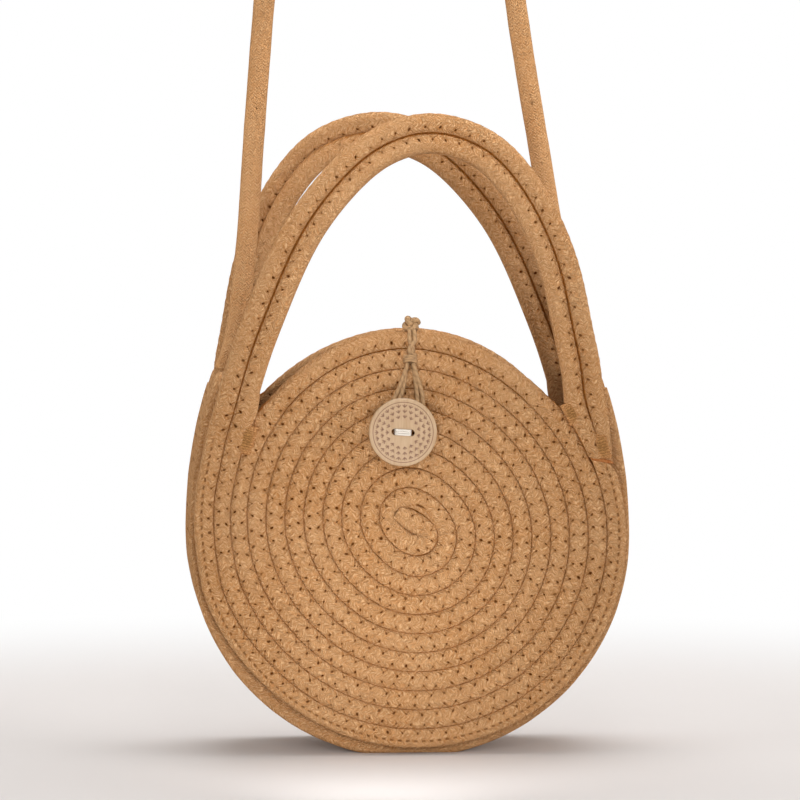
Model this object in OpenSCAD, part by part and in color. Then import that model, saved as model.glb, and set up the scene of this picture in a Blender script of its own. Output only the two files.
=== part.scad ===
// Round handbag sewn from one kind of soft cotton rope. Two coiled discs, a
// gusset between them, two rope handles, a shoulder strap, and a wooden button
// that a waxed cord loop closes. Millimetres, +Z up, the front faces -Y, and
// the origin is on the table under the middle of the bag.

/* [Rope] */
// Distance from one sewn row to the next
row_pitch = 8.6; // [7.6:0.1:9.6]
// Groove left between neighbouring rows
row_groove = 0.85; // [0.7:0.05:1]
// Thickness of the rope across a disc or the gusset
rope_thick = 9; // [8:0.1:10]
// Diameter of the rope in the handles and the strap
rope_d = 9.1; // [8:0.1:10]
// Groove between the two ropes of a handle
handle_groove = 0.3; // [0.2:0.05:0.6]

/* [Discs] */
// Rows from the core to the rim of a disc
coil_rows = 10; // [8:1:11]
// How much longer than round the rows are, along their slant
coil_oval = 4; // [2:0.5:5]
// How far each rim leans towards the mouth
rim_lean = 25; // [16:1:26]
// Height of the discs' centre
coil_up = 104; // [103:0.5:106]
// Sideways place of the front disc's centre
coil_side = 0.9; // [-1:0.1:1]

/* [Gusset] */
// Rows of rope on each side of the gusset's middle row
side_rows = 3; // [2:1:4]
// How far the gusset stands out past the mean of a disc's last row
gusset_step = 2.6; // [2:0.1:3.4]
// Angle above level where the gusset ends on each side
gusset_end = 38; // [30:1:40]
// How far the gusset's ends flare out of the round
gusset_flare = 13; // [10:0.5:14]
// Half the width that the bag's weight presses flat on the table
flat_half = 18; // [12:1:22]
// Depth to which the resting rope is pressed flat
flat_press = 0.9; // [0.6:0.1:1.2]

/* [Handles] */
// Height of the handles' seam above the discs' centre
handle_rise = 179; // [150:1:200]
// Height of the fold line above the discs' centre
fold_rise = 73; // [72:1:80]
// Inward lean of the handles, in degrees
handle_lean = 5; // [2:0.5:5.5]
// Inward sway that the cut at the fold leaves room for, in degrees
sway = 6.5; // [3:0.5:8]

/* [Button] */
// Diameter of the wooden button
button_d = 31; // [26:0.5:34]
// Thickness of the button
button_t = 3.2; // [2.6:0.1:4]
// Diameter of each sewing hole
button_hole_d = 3.1; // [2.6:0.1:3.6]
// Distance between the holes' centres
button_hole_gap = 7.5; // [6:0.1:9]
// Diameter of the sewing thread
thread_d = 0.85; // [0.6:0.05:0.9]
// Height of the button's centre above the discs' centre
button_rise = 43.6; // [38:0.5:48]
// Sideways place of the button
button_side = -3.9; // [-6:0.1:0]

/* [Loop] */
// Diameter of the waxed cord
loop_d = 2.2; // [1.8:0.1:2.4]
// Sideways place of the knot
knot_side = 1.8; // [0:0.1:4]
// Length of the tail sewn down inside the back rim
tail_l = 14; // [10:1:20]
// Height of the binding that holds the loop's four strands together
wrap_h = 4.4; // [3:0.2:6]

/* [Strap] */
// Diameter of the shoulder strap
strap_d = 9.1; // [8:0.1:9.6]

/* [Hidden] */

rope_colour = [0.74, 0.53, 0.33];
tack_colour = [0.60, 0.46, 0.27];
seal_colour = [0.62, 0.31, 0.18];
wood_colour = [0.80, 0.68, 0.54];
thread_colour = [0.93, 0.91, 0.87];
cord_colour = [0.62, 0.48, 0.33];

// Clearances
seat = 0.2;
disc_seat = 0.35;
cord_seat = 0.5;
fold_gap = 0.3;
overrun = 5;

// Coil: angles run clockwise seen from the front, in degrees
row_w = row_pitch - row_groove;
coil_step = 15;
coil_tilt = 135;
coil_core = 0.4;
start_angle = 93;
leg_angle = 198;
butt_angle = 18;
turn_share = 0.463;
tall_share = 1.015;
straight_share = 0.5;

// Depth of the bag, from the middle to a disc's rope
gusset_half = (side_rows + 0.5) * row_pitch - row_groove / 2;
disc_y = gusset_half + disc_seat + rope_thick / 2;
rim_r = coil_rows * row_pitch;
lean_from = -14 / 86 * rim_r;
lean_span = 102 / 86 * rim_r;
lean_wide = 110 / 86 * rim_r;

function unit(v) = v / norm(v);
function row_turn(a, row) = row + turn_share - a / 360;
function stretch(c) = c / sqrt(c * c + straight_share * straight_share)
    * sqrt(1 + straight_share * straight_share);

// A place on the row's centre line: [x, z] at angle a of the given row
function coil_xz(a, row) =
    let (d = row_pitch * row_turn(a, row) + coil_core)
    let (s = coil_oval * stretch(cos(a - coil_tilt)))
    [coil_side + d * cos(a) + s * cos(coil_tilt),
        coil_up + tall_share * (d * sin(a) + s * sin(coil_tilt))];

// How far a disc leans in at a place
function lean(x, z) =
    let (s = max(0, z - coil_up - lean_from) / lean_span)
    rim_lean * s * s * pow(cos(90 * min(1, abs(x) / lean_wide)), 2);
function on_disc(p) = [p[0], -disc_y + lean(p[0], p[1]), p[1]];
function on_handle(p) = [p[0], handle_y(p[1]), p[1]];
function handle_y(z) = -disc_y + tan(handle_lean) * max(0, z - fold_up);

// Every ring of the coil, from the core to the left leg
coil_angles = [for (a = start_angle; a >= leg_angle - 360 * coil_rows; a = a - coil_step) a];
coil_path = [for (a = coil_angles) on_disc(coil_xz(a, 0))];

// The seam in the middle of a handle: sideways shares of the rim's radius, and
// upward shares of the fold's height, then of what is left up to the top
left_leg_shares = [[-1.03, -0.208], [-1.047, 0.007], [-1.04, 0.205], [-1.01, 0.388],
    [-0.976, 0.581], [-0.937, 0.73]];
arch_shares = [[-0.872, 0], [-0.79, 0.185], [-0.635, 0.48], [-0.49, 0.676],
    [-0.294, 0.855], [-0.11, 0.957], [0.106, 1], [0.325, 0.96], [0.499, 0.86],
    [0.666, 0.665], [0.79, 0.424], [0.866, 0.135], [0.9, 0]];
right_leg_shares = [[0.922, 0.8], [0.965, 0.64], [1.01, 0.48]];
arch_rise = handle_rise - fold_rise;
fold_up = coil_up + fold_rise;
function leg_point(s) = [s[0] * rim_r, coil_up + s[1] * fold_rise];
function arch_point(s) = [s[0] * rim_r, fold_up + s[1] * arch_rise];
seam_points = concat([for (s = left_leg_shares) leg_point(s)],
    [for (s = arch_shares) arch_point(s)], [for (s = right_leg_shares) leg_point(s)]);
left_fold = len(left_leg_shares);
right_fold = left_fold + len(arch_shares) - 1;
last_point = len(seam_points) - 1;

// A smooth curve through the seam's points; t counts points
function seam_at(t) =
    let (i = min(floor(t), last_point - 1))
    let (f = t - i)
    let (a = seam_points[max(i - 1, 0)], b = seam_points[i])
    let (c = seam_points[i + 1], d = seam_points[min(i + 2, last_point)])
    0.5 * (2 * b + (c - a) * f + (2 * a - 5 * b + 4 * c - d) * f * f
        + (3 * b - a - 3 * c + d) * f * f * f);
seam_look = 0.05;
function seam_dir(t) = unit(seam_at(min(t + seam_look, last_point))
    - seam_at(max(t - seam_look, 0)));
// Half the step between the two ropes, which opens from the rows to the handle
function rope_side(t) = let (open = (rope_d + handle_groove) / 2, f = min(1, t / left_fold))
    row_pitch / 2 * (1 - f) + open * f;
function is_fold(t) = t == left_fold || t == right_fold;
// side is 1 for the inner rope and -1 for the outer rope
function beside_seam(t, side) =
    let (d = seam_dir(t))
    let (n = is_fold(t) ? [1 / d[1], 0] : [d[1], -d[0]])
    seam_at(t) + side * rope_side(t) * n;
function handle_ring(t, side) = on_handle(beside_seam(t, side));

arch_steps = 3;
function steps(from, to) = [for (i = [from * arch_steps:to * arch_steps]) i / arch_steps];
function handle_run(from, to, side) = [for (t = steps(from, to)) handle_ring(t, side)];

// Section of a rope: x across the row, y through the disc
function section(w, t, sides) =
    let (tip = sides % 4 == 0 ? cos(180 / sides) : 1)
    [for (i = [0:sides - 1]) let (a = (i + 0.5) * 360 / sides)
        [w / 2 * cos(a) / cos(180 / sides), t / 2 * sin(a) / tip]];
function path_dir(path, i) = unit(path[min(i + 1, len(path) - 1)] - path[max(i - 1, 0)]);
function ring_points(p, dir, up, w, t, sides) =
    let (side = unit(cross(dir, up)))
    let (top = cross(side, dir))
    [for (s = section(w, t, sides)) p + s[0] * side + s[1] * top];

// A closed tube along a path. ups, widths and thicks have one entry for each ring
module tube(path, ups, widths, thicks, sides, first_dir = undef, last_dir = undef) {
    last = len(path) - 1;
    points = [for (i = [0:last])
        let (dir = i == 0 && first_dir != undef ? first_dir
            : i == last && last_dir != undef ? last_dir : path_dir(path, i))
        each ring_points(path[i], dir, ups[i], widths[i], thicks[i], sides)];
    walls = [for (i = [0:last - 1]) for (j = [0:sides - 1])
        let (k = (j + 1) % sides)
        let (a = i * sides, b = (i + 1) * sides)
        each [[a + j, a + k, b + k], [a + j, b + k, b + j]]];
    caps = [for (j = [1:sides - 2])
        each [[0, j + 1, j], [last * sides, last * sides + j, last * sides + j + 1]]];
    polyhedron(points, concat(walls, caps), convexity = 10);
}
function same(path, value) = [for (p = path) value];
across = [0, 1, 0];
coil_sides = 6;
rope_sides = 8;

// Disc
function far_gap(path, loop) = min([for (i = [0:len(path) - 1])
    for (j = [i + loop:1:len(path) - 1]) norm(path[i] - path[j])]);
rings_apart = 18;
echo(least_coil_gap = far_gap(coil_path, rings_apart) - row_w);

leg_ring_last = [0, 0, 1];
function widths_to_handle(n, m) = concat([for (i = [1:n]) row_w],
    [for (i = [1:m]) row_w + (rope_d - row_w) * i / m]);
inner_leg = handle_run(0, left_fold, 1);
coil_whole = concat(coil_path, inner_leg);
module disc_coil() {
    color(rope_colour)
        tube(coil_whole, same(coil_whole, across),
            widths_to_handle(len(coil_path), len(inner_leg)),
            same(coil_whole, rope_thick), coil_sides, undef, leg_ring_last);
}

outer_angles = [for (a = butt_angle; a >= leg_angle - 360; a = a - coil_step) a];
outer_row_path = [for (a = outer_angles) on_disc(coil_xz(a, coil_rows))];
outer_leg = handle_run(0, left_fold, -1);
outer_whole = concat(outer_row_path, outer_leg);
module outer_row() {
    color(rope_colour)
        tube(outer_whole, same(outer_whole, across),
            widths_to_handle(len(outer_row_path), len(outer_leg)),
            same(outer_whole, rope_thick), rope_sides, undef, leg_ring_last);
}

// Thin seal on the cut end of the outer row, and the tail that meets it
seal_t = 1.2;
butt_dir = path_dir(outer_row_path, 0);
seal_path = [outer_row_path[0] - butt_dir * (seal_t + seat), outer_row_path[0] - butt_dir * seat];
module row_end_seal() {
    color(seal_colour)
        tube(seal_path, same(seal_path, across), same(seal_path, row_w),
            same(seal_path, rope_thick), rope_sides, butt_dir, butt_dir);
}
tail_end = seal_path[0] - butt_dir * seat;
tail_lead = tail_end - butt_dir * row_pitch;
lead_points = 2;
outer_tail_path = concat([for (t = steps(right_fold, last_point - lead_points))
    handle_ring(t, -1)],
    [tail_lead, tail_end]);
tail_widths = concat([for (i = [1:len(outer_tail_path) - 2]) rope_d], [row_w, row_w]);
module outer_tail() {
    color(rope_colour)
        tube(outer_tail_path, same(outer_tail_path, across), tail_widths,
            same(outer_tail_path, rope_thick), rope_sides, [0, 0, -1], butt_dir);
}

// The inner tail narrows into the wedge between the rim row and the outer tail
wedge_shares = [1, 1, 1, 0.97, 0.89, 0.77, 0.6, 0.4];
wedge_shift_shares = [0, 0, 0, -0.01, -0.04, -0.08, -0.1, -0.12];
inner_tail_steps = [for (i = [0:len(wedge_shares) - 1]) right_fold + i / arch_steps];
inner_tail_path = [for (i = [0:len(wedge_shares) - 1])
    handle_ring(inner_tail_steps[i], 1) + [wedge_shift_shares[i] * rope_d, 0, 0]];
module inner_tail() {
    color(rope_colour)
        tube(inner_tail_path, same(inner_tail_path, across),
            [for (s = wedge_shares) s * rope_d], [for (s = wedge_shares) s * rope_thick],
            rope_sides, [0, 0, -1], undef);
}

// Handle ropes, cut at the fold so that they can sway in and fold out
fold_axis_y = handle_y(fold_up) - rope_thick / 2;
fold_dir = [0, -sin(sway), cos(sway)];
function above_fold(p) =
    [p[0], p[1], fold_up + fold_gap + (p[1] - fold_axis_y) * tan(sway)];
function arch_path(side) =
    let (run = handle_run(left_fold, right_fold, side))
    let (last = len(run) - 1)
    [for (i = [0:last]) i == 0 || i == last ? above_fold(run[i]) : run[i]];
module handle_rope(side) {
    path = arch_path(side);
    color(rope_colour)
        tube(path, same(path, across), same(path, rope_d), same(path, rope_thick),
            rope_sides, fold_dir, [0, sin(sway), -cos(sway)]);
}

// Dense tacks of thread where rope ends and crotches are sewn down
tack_t = 0.8;
tack_w = 6;
tack_l = 10;
tack_sink = 0.3;
tack_places = [[-0.872, 0.555, 16], [0.829, 0.7, -24], [0.985, 0.47, -6]];
function tack_spot(s) = [s[0] * rim_r, coil_up + s[1] * fold_rise];
module tack() {
    translate([-tack_w / 2, -tack_t, -tack_l / 2])
        cube([tack_w, tack_t, tack_l]);
}
module tacks() {
    color(tack_colour)
        for (s = tack_places)
            let (p = tack_spot(s))
                translate([p[0], -disc_y - rope_thick / 2 + tack_sink + min(lean(p[0], p[1]),
                    handle_y(p[1]) + disc_y), p[1]])
                    rotate([0, s[2], 0])
                        tack();
}

// Gusset: the strap's rope runs down the middle, and on each side of it one
// rope is laid in rows, folded back at each end
gusset_c = (coil_rows + turn_share + 0.43) * row_pitch + gusset_step;
gusset_dip = asin(flat_half / gusset_c);
gusset_up = gusset_c * cos(gusset_dip) + rope_thick / 2 - flat_press;
gusset_arcs = 8;
function gusset_r(a) = gusset_c + gusset_flare * pow(max(0, a) / gusset_end, 2);
// Angle of ring i down the right side, 0 at the top
gusset_low = gusset_dip - 90;
function gusset_a(i) = gusset_end - i * (gusset_end - gusset_low) / gusset_arcs;
function gusset_xz(i, side) = let (a = gusset_a(i), r = gusset_r(a))
    [side * r * cos(a), gusset_up + r * sin(a)];
gusset_round = concat([for (i = [0:gusset_arcs]) gusset_xz(i, 1)],
    [for (i = [gusset_arcs:-1:0]) gusset_xz(i, -1)]);
gusset_last = len(gusset_round) - 1;
function gusset_out(i) = let (p = gusset_round[i]) unit([p[0], 0, p[1] - gusset_up]);
// Row 1 lies beside the middle row, towards the front
function row_y(k) = -k * row_pitch;
function gusset_place(i, k) = [gusset_round[i][0], row_y(k), gusset_round[i][1]];
turn_steps = 6;
function end_of_row(k) = k % 2 == side_rows % 2 ? gusset_last : 0;
function out_dir(e) = unit(gusset_place(e, 0) - gusset_place(e == 0 ? 1 : gusset_last - 1, 0));
function gusset_row(k) = [for (i = [0:gusset_last])
    let (j = end_of_row(k) == gusset_last ? i : gusset_last - i)
    [gusset_place(j, k), gusset_out(j)]];
function gusset_turn(k) = let (e = end_of_row(k))
    [for (s = [1:turn_steps - 1]) let (a = 180 * s / turn_steps)
        [gusset_place(e, k) + row_pitch / 2 * (out_dir(e) * sin(a)
            + [0, 1 - cos(a), 0]), gusset_out(e)]];
gusset_rings = [for (k = [side_rows:-1:1])
    each concat(gusset_row(k), k > 1 ? gusset_turn(k) : [])];
module pressed_flat() {
    difference() {
        children();
        translate([-2 * flat_half, -disc_y, -overrun])
            cube([4 * flat_half, 2 * disc_y, overrun]);
    }
}
module row_tube(rings) {
    path = [for (r = rings) r[0]];
    color(rope_colour)
        pressed_flat()
            tube(path, [for (r = rings) r[1]], same(path, row_w), same(path, rope_thick),
                coil_sides);
}
module gusset_side_rope() {
    row_tube(gusset_rings);
}

// The middle row ends where the strap leaves it, level with the folds
exit_rise = row_pitch / 2 + row_w / 2;
function row_exit(e) = gusset_place(e, 0) + out_dir(e) * exit_rise;
middle_rings = concat([[row_exit(0), gusset_out(0)]],
    [for (i = [0:gusset_last]) [gusset_place(i, 0), gusset_out(i)]],
    [[row_exit(gusset_last), gusset_out(gusset_last)]]);
module gusset_middle_row() {
    row_tube(middle_rings);
}

// Shoulder strap: it leaves both ends of the gusset's middle row and rises in
// one loop. The route's points are [x, z] in the middle plane of the bag
strap_route = [[-80.9, 181], [-77.8, 194], [-74.8, 216], [-72.3, 243], [-70.2, 275],
    [-67.6, 310], [-64.5, 348], [-60, 392], [-54, 430], [-41, 462], [-19, 483], [6, 485],
    [26, 468], [37.5, 438], [43.5, 400], [50, 348], [55.4, 312], [61.5, 276], [67.6, 240],
    [72.3, 215], [76.6, 195], [80.3, 181]];
strap_last = len(strap_route) - 1;
strap_steps = 2;
function strap_at(t) =
    let (i = min(floor(t), strap_last - 1))
    let (f = t - i)
    let (a = strap_route[max(i - 1, 0)], b = strap_route[i])
    let (c = strap_route[i + 1], d = strap_route[min(i + 2, strap_last)])
    0.5 * (2 * b + (c - a) * f + (2 * a - 5 * b + 4 * c - d) * f * f
        + (3 * b - a - 3 * c + d) * f * f * f);
strap_mid = [for (i = [0:strap_last * strap_steps])
    let (p = strap_at(i / strap_steps)) [p[0], 0, p[1]]];
strap_path = concat([row_exit(gusset_last) + out_dir(gusset_last) * seat],
    strap_mid, [row_exit(0) + out_dir(0) * seat]);
strap_sides = 8;
module shoulder_strap() {
    color(rope_colour)
        tube(strap_path, same(strap_path, across), same(strap_path, strap_d),
            same(strap_path, strap_d), strap_sides, out_dir(gusset_last), -out_dir(0));
}

// How far a disc's front tilts back at a place, and a point that stands off it
front_y = -disc_y - rope_thick / 2;
tilt_look = 1;
function tilt_at(x, z) = atan((lean(x, z + tilt_look) - lean(x, z - tilt_look))
    / (2 * tilt_look));
function on_front(x, z, off) = [x, front_y + lean(x, z) - off / cos(tilt_at(x, z)), z];

// Button, hung upright over the noose
button_z = coil_up + button_rise;
noose_low = button_z - button_hole_d - 2 * loop_d - cord_seat;
noose_off = loop_d / 2 + cord_seat;
button_back = on_front(button_side, noose_low, noose_off + loop_d / 2 + cord_seat)[1];
button_edge = 0.6;
round_fn = 96;
small_fn = 32;
thread_fn = 12;
module holes_at(r, l, fn) {
    for (side = [-1, 1])
        translate([side * button_hole_gap / 2, 0, 0])
            cylinder(r = r, h = l, $fn = fn);
}
module button() {
    color(wood_colour)
        translate([button_side, button_back, button_z])
            rotate([90, 0, 0])
                difference() {
                    rotate_extrude($fn = round_fn)
                        polygon([[0, 0], [button_d / 2 - button_edge, 0],
                            [button_d / 2, button_edge], [button_d / 2, button_t - button_edge],
                            [button_d / 2 - button_edge, button_t], [0, button_t]]);
                    translate([0, 0, -overrun])
                        holes_at(button_hole_d / 2, button_t + 2 * overrun, small_fn);
                }
}

// Sewing thread: legs through the holes to the disc, and bars over the front
thread_gap = 0.1;
thread_pitch = thread_d + thread_gap;
leg_top = button_t + thread_d / 2 + thread_gap;
leg_l = on_front(button_side, button_z - thread_pitch, seat + thread_d / 2)[1] - button_back;
module button_thread() {
    color(thread_colour)
        translate([button_side, button_back, button_z])
            rotate([90, 0, 0])
                for (k = [-1:1])
                    translate([0, k * thread_pitch, -leg_l])
                        union() {
                            holes_at(thread_d / 2, leg_l + leg_top, thread_fn);
                            translate([-button_hole_gap / 2, 0, leg_l + leg_top])
                                rotate([0, 90, 0])
                                    cylinder(d = thread_d, h = button_hole_gap, $fn = thread_fn);
                            for (side = [-1, 1])
                                translate([side * button_hole_gap / 2, 0, leg_l + leg_top])
                                    sphere(d = thread_d, $fn = thread_fn);
                        }
}

// Closing loop. The knot stands on the front rim, its tail is sewn inside the
// back rim, and the loop hangs over the front face and round the thread's legs
rim_z = coil_xz(90, coil_rows - 1)[1];
rim_top = rim_z + row_w / 2;
rim_y = on_disc([knot_side, rim_z])[1];
knot_r = 3.9;
knot_z = rim_top + knot_r;
cord_sides = 8;
module cord_tube(path, up, first_dir = undef, last_dir = undef) {
    color(cord_colour)
        tube(path, same(path, up), same(path, loop_d), same(path, loop_d), cord_sides,
            first_dir, last_dir);
}
// Knot: crossed turns of the cord round a small core
knot_turns = 3;
knot_ring = [for (a = [0:30:330]) (knot_r - loop_d / 2) * [cos(a), sin(a), 0]];
module loop_knot() {
    color(cord_colour)
        translate([knot_side, rim_y, knot_z])
            union() {
                for (turn = [0:knot_turns - 1])
                    rotate([90 * (turn % 2), 40 * turn, 60 * turn])
                        cord_tube(knot_ring, [0, 0, 1]);
                sphere(r = knot_r - loop_d / 2, $fn = thread_fn);
            }
}
function inside_back(z, off) = disc_y - lean(knot_side, z) - rope_thick / 2 - off;
function tail_route(x) = [
    [x, rim_y + knot_r + seat, knot_z],
    [x, rim_y / 2 + knot_r, knot_z - seat],
    [x, inside_back(rim_z, noose_off) - loop_d, rim_top + loop_d / 2],
    [x, inside_back(rim_z, noose_off), rim_z],
    [x, inside_back(rim_z - tail_l / 2, noose_off), rim_z - tail_l / 2],
    [x, inside_back(rim_z - tail_l, noose_off), rim_z - tail_l]];
module loop_tail() {
    for (side = [-1, 1])
        cord_tube(tail_route(knot_side + side * (loop_d + seat) / 2), [1, 0, 0]);
}

// Binding, laid along the slope of the disc below the rim
wrap_drop = 7.5;
wrap_side = 0.6;
wrap_up = rim_z - wrap_drop;
wrap_w = 2 * loop_d + 2 * seat + loop_d / 2;
wrap_t = 2 * loop_d;
wrap_c = on_front(wrap_side, wrap_up, wrap_t / 2 + cord_seat);
wrap_tilt = tilt_at(wrap_side, wrap_up);
wrap_dir = [0, sin(wrap_tilt), cos(wrap_tilt)];
wrap_in = [0, cos(wrap_tilt), -sin(wrap_tilt)];
module loop_wrap() {
    color(cord_colour)
        translate(wrap_c)
            rotate([-wrap_tilt, 0, 0])
                translate([0, 0, -wrap_h / 2])
                    scale([wrap_w / wrap_t, 1, 1])
                        cylinder(d = wrap_t, h = wrap_h, $fn = small_fn);
}

// Two strands from the knot over the rim to the binding; the fold is at their top
fold_drop = 32;
loop_fold = [knot_side, rim_y - (knot_r + cord_seat) * cos(fold_drop),
    knot_z - (knot_r + cord_seat) * sin(fold_drop)];
wrap_top = wrap_c + wrap_dir * (wrap_h / 2 + seat);
wrap_foot = wrap_c - wrap_dir * (wrap_h / 2 + seat);
module loop_cord() {
    for (side = [-1, 1])
        let (x = [side * (loop_d + seat) / 2, 0, 0])
            cord_tube([loop_fold + x, on_front(knot_side, rim_z, noose_off + seat) + x,
                wrap_top + x], across, undef, -wrap_dir);
}

// The noose: two cords, one inside the other, down past the button's thread
noose_left = 4.9;
noose_right = 2.8;
noose_open = button_z + button_d / 2;
noose_half = button_hole_gap / 2 + thread_d + loop_d;
noose_step = loop_d + seat;
corner_share = 0.72;
function noose_route(n) =
    let (out = n * noose_step, h = noose_half + out, low = noose_low + (1 - n) * noose_step)
    let (layer = wrap_in * (0.5 - n) * noose_step, x = [noose_step / 2, 0, 0])
    let (open = noose_off + loop_d / 2, round_z = (button_z + low) / 2 - loop_d / 2)
    [wrap_foot + layer - x,
        on_front(wrap_side - noose_left - out, noose_open, open),
        on_front(button_side - h, button_z + noose_half, noose_off),
        on_front(button_side - h, button_z, noose_off),
        on_front(button_side - h * corner_share, round_z, noose_off),
        on_front(button_side, low, noose_off),
        on_front(button_side + h * corner_share, round_z, noose_off),
        on_front(button_side + h, button_z, noose_off),
        on_front(button_side + h, button_z + noose_half, noose_off),
        on_front(wrap_side + noose_right + out, noose_open, open),
        wrap_foot + layer + x];
module loop_noose() {
    for (n = [0, 1])
        cord_tube(noose_route(n), across, -wrap_dir, wrap_dir);
}

module turned() {
    rotate([0, 0, 180])
        children();
}

disc_coil();  // front_panel_coil
outer_row();  // front_outer_row
inner_tail();  // front_inner_tail
outer_tail();  // front_outer_tail
row_end_seal();  // front_row_end_seal
tacks();  // front_tacks
handle_rope(1);  // front_handle_inner_rope
handle_rope(-1);  // front_handle_outer_rope
turned() disc_coil();  // back_panel_coil
turned() outer_row();  // back_outer_row
turned() inner_tail();  // back_inner_tail
turned() outer_tail();  // back_outer_tail
turned() row_end_seal();  // back_row_end_seal
turned() tacks();  // back_tacks
turned() handle_rope(1);  // back_handle_inner_rope
turned() handle_rope(-1);  // back_handle_outer_rope
gusset_side_rope();  // gusset_front_rope
turned() gusset_side_rope();  // gusset_back_rope
gusset_middle_row();
shoulder_strap();
button();
button_thread();
loop_knot();
loop_tail();
loop_cord();
loop_wrap();
loop_noose();
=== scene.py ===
"""Round handbag of coiled cotton rope: visible pieces, built over the bag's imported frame."""

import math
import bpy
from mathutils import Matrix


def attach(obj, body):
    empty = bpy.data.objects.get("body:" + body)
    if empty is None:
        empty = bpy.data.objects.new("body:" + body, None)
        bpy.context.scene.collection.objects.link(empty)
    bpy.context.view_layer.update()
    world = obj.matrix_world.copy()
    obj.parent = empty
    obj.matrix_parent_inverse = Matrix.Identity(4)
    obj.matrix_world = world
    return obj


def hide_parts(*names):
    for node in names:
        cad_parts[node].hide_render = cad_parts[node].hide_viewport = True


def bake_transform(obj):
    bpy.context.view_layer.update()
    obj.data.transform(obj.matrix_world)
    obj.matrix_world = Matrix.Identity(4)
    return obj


bl_info = {
    "name": "Round Rope Handbag",
    "version": (1, 0, 0),
    "blender": (4, 5, 0),
    "location": "3D View > Sidebar > Rope Bag",
    "description": "Builds a round handbag of coiled rope with handles, strap, button and loop",
    "category": "Add Mesh",
}

import bmesh
import bpy
import numpy as np
from bpy.props import FloatProperty, FloatVectorProperty, IntProperty, PointerProperty
from mathutils import Matrix, Vector

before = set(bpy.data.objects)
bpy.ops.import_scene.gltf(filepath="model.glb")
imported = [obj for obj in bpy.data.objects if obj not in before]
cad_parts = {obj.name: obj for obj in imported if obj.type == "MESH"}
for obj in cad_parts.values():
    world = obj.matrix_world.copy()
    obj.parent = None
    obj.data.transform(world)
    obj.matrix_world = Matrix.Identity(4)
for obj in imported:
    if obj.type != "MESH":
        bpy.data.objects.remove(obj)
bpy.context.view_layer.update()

# Shape of the bag, in millimetres and degrees, as in the part's source
MM = 0.001
ROW_PITCH = 8.6
COIL_ROWS = 10
COIL_OVAL = 4.0
COIL_TILT = math.radians(135)
COIL_CORE = 0.4
COIL_SIDE = 0.9
COIL_UP = 104.0
CORE_FOLD = (4.2, 99.9)
CORE_R = 4.15
CORE_RUN = 14.8
CORE_SLOPE = 28
CORE_JOIN = -118.0
TURN_SHARE = 0.463
TALL_SHARE = 1.015
STRAIGHT_SHARE = 0.5
LAST_TURN = 360 * (COIL_ROWS - 1)
ROW_TURN = 360 * COIL_ROWS
LEG_ANGLE = 198.0
BUTT_ANGLE = 20.4
BUTT_SLANT = 0.6
RIM_R = COIL_ROWS * ROW_PITCH
RIM_LEAN = 25.0
LEAN_FROM = -14.0
LEAN_SPAN = 102.0
LEAN_WIDE = 110.0
ROPE_THICK = 9.0
ROPE_D = 9.1
DISC_Y = 34.525
FOLD_RISE = 73.0
HANDLE_RISE = 179.0
HANDLE_LEAN = math.tan(math.radians(5))
FOLD_UP = COIL_UP + FOLD_RISE
LEFT_LEG_SHARES = [(-1.03, -0.208), (-1.047, 0.007), (-1.04, 0.205), (-1.01, 0.388),
                   (-0.976, 0.581), (-0.937, 0.73)]
ARCH_SHARES = [(-0.872, 0), (-0.79, 0.185), (-0.635, 0.48), (-0.49, 0.676),
               (-0.294, 0.855), (-0.11, 0.957), (0.106, 1), (0.325, 0.96), (0.499, 0.86),
               (0.666, 0.665), (0.79, 0.424), (0.866, 0.135), (0.9, 0)]
RIGHT_LEG_SHARES = [(0.922, 0.8), (0.965, 0.64), (1.01, 0.48)]
LEFT_FOLD = len(LEFT_LEG_SHARES)
RIGHT_FOLD = LEFT_FOLD + len(ARCH_SHARES) - 1
SIDE_ROWS = 3
GUSSET_C = 96.28
GUSSET_UP = 98.18
GUSSET_END = 38.0
GUSSET_FLARE = 13.0
GUSSET_DIP = 10.777
ROW_OVERHANG = ROW_PITCH / 2 + 3.875
STRAP_OVERLAP = 0.8
STRAP_EXIT = (84.133, 173.393)
STRAP_ROUTE = [(-80.9, 181), (-77.8, 194), (-74.8, 216), (-72.3, 243), (-70.2, 275),
               (-67.6, 310), (-64.5, 348), (-60, 392), (-54, 430), (-41, 462), (-19, 483),
               (6, 485), (26, 468), (37.5, 438), (43.5, 400), (50, 348), (55.4, 312),
               (61.5, 276), (67.6, 240), (72.3, 215), (76.6, 195), (80.3, 181)]

# A rope's section: its width where it lies flat between two rows, and the powers of its
# rounding there, in the gusset and where it runs free
FLAT_WIDTH = ROW_PITCH + 0.4
FLAT_POWER = 4.2
GUSSET_POWER = 3.6
ROUND_DROP = 1.7

# Unevenness of a rope, each a size and the length of its longest wave
EDGE_RIPPLE = (0.1, 5.7)
MIDDLE_RIPPLE = (0.14, 61)
THICK_RIPPLE = (0.12, 37)
GUSSET_RIPPLE = (0.12, 33)

# How far from a rope's middle a stitch pulls it in, lets it swell, and the seam's groove is
PULL_AT = 2.1
SWELL_AT = 2.2
GROOVE_AT = 4.3

# Lengths over which a butt end slants, and over which the strap becomes round
BUTT_REACH = 7.0
STRAP_EASE = 18.0

# Height at which a disc's ropes are cut for the handle, and heights on the left and right
# up to which the handle's feet are sewn to the rim
LEG_CUT = 150.0
SEWN_LEFT = 146.0
SEWN_RIGHT = 152.0
SEWN_FADE = 6.0

# Angles between which the coil's last turn has nothing sewn to its outer side
FREE_FROM = 141.0
FREE_TO = 44.0

# The back handle's ropes twist: where from, and how far each goes sideways and out
TWIST_FROM = (LEFT_FOLD + RIGHT_FOLD) / 2 - 0.3
TWISTS = [(3.3, -2.8), (1.3, 2.8)]

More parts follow.
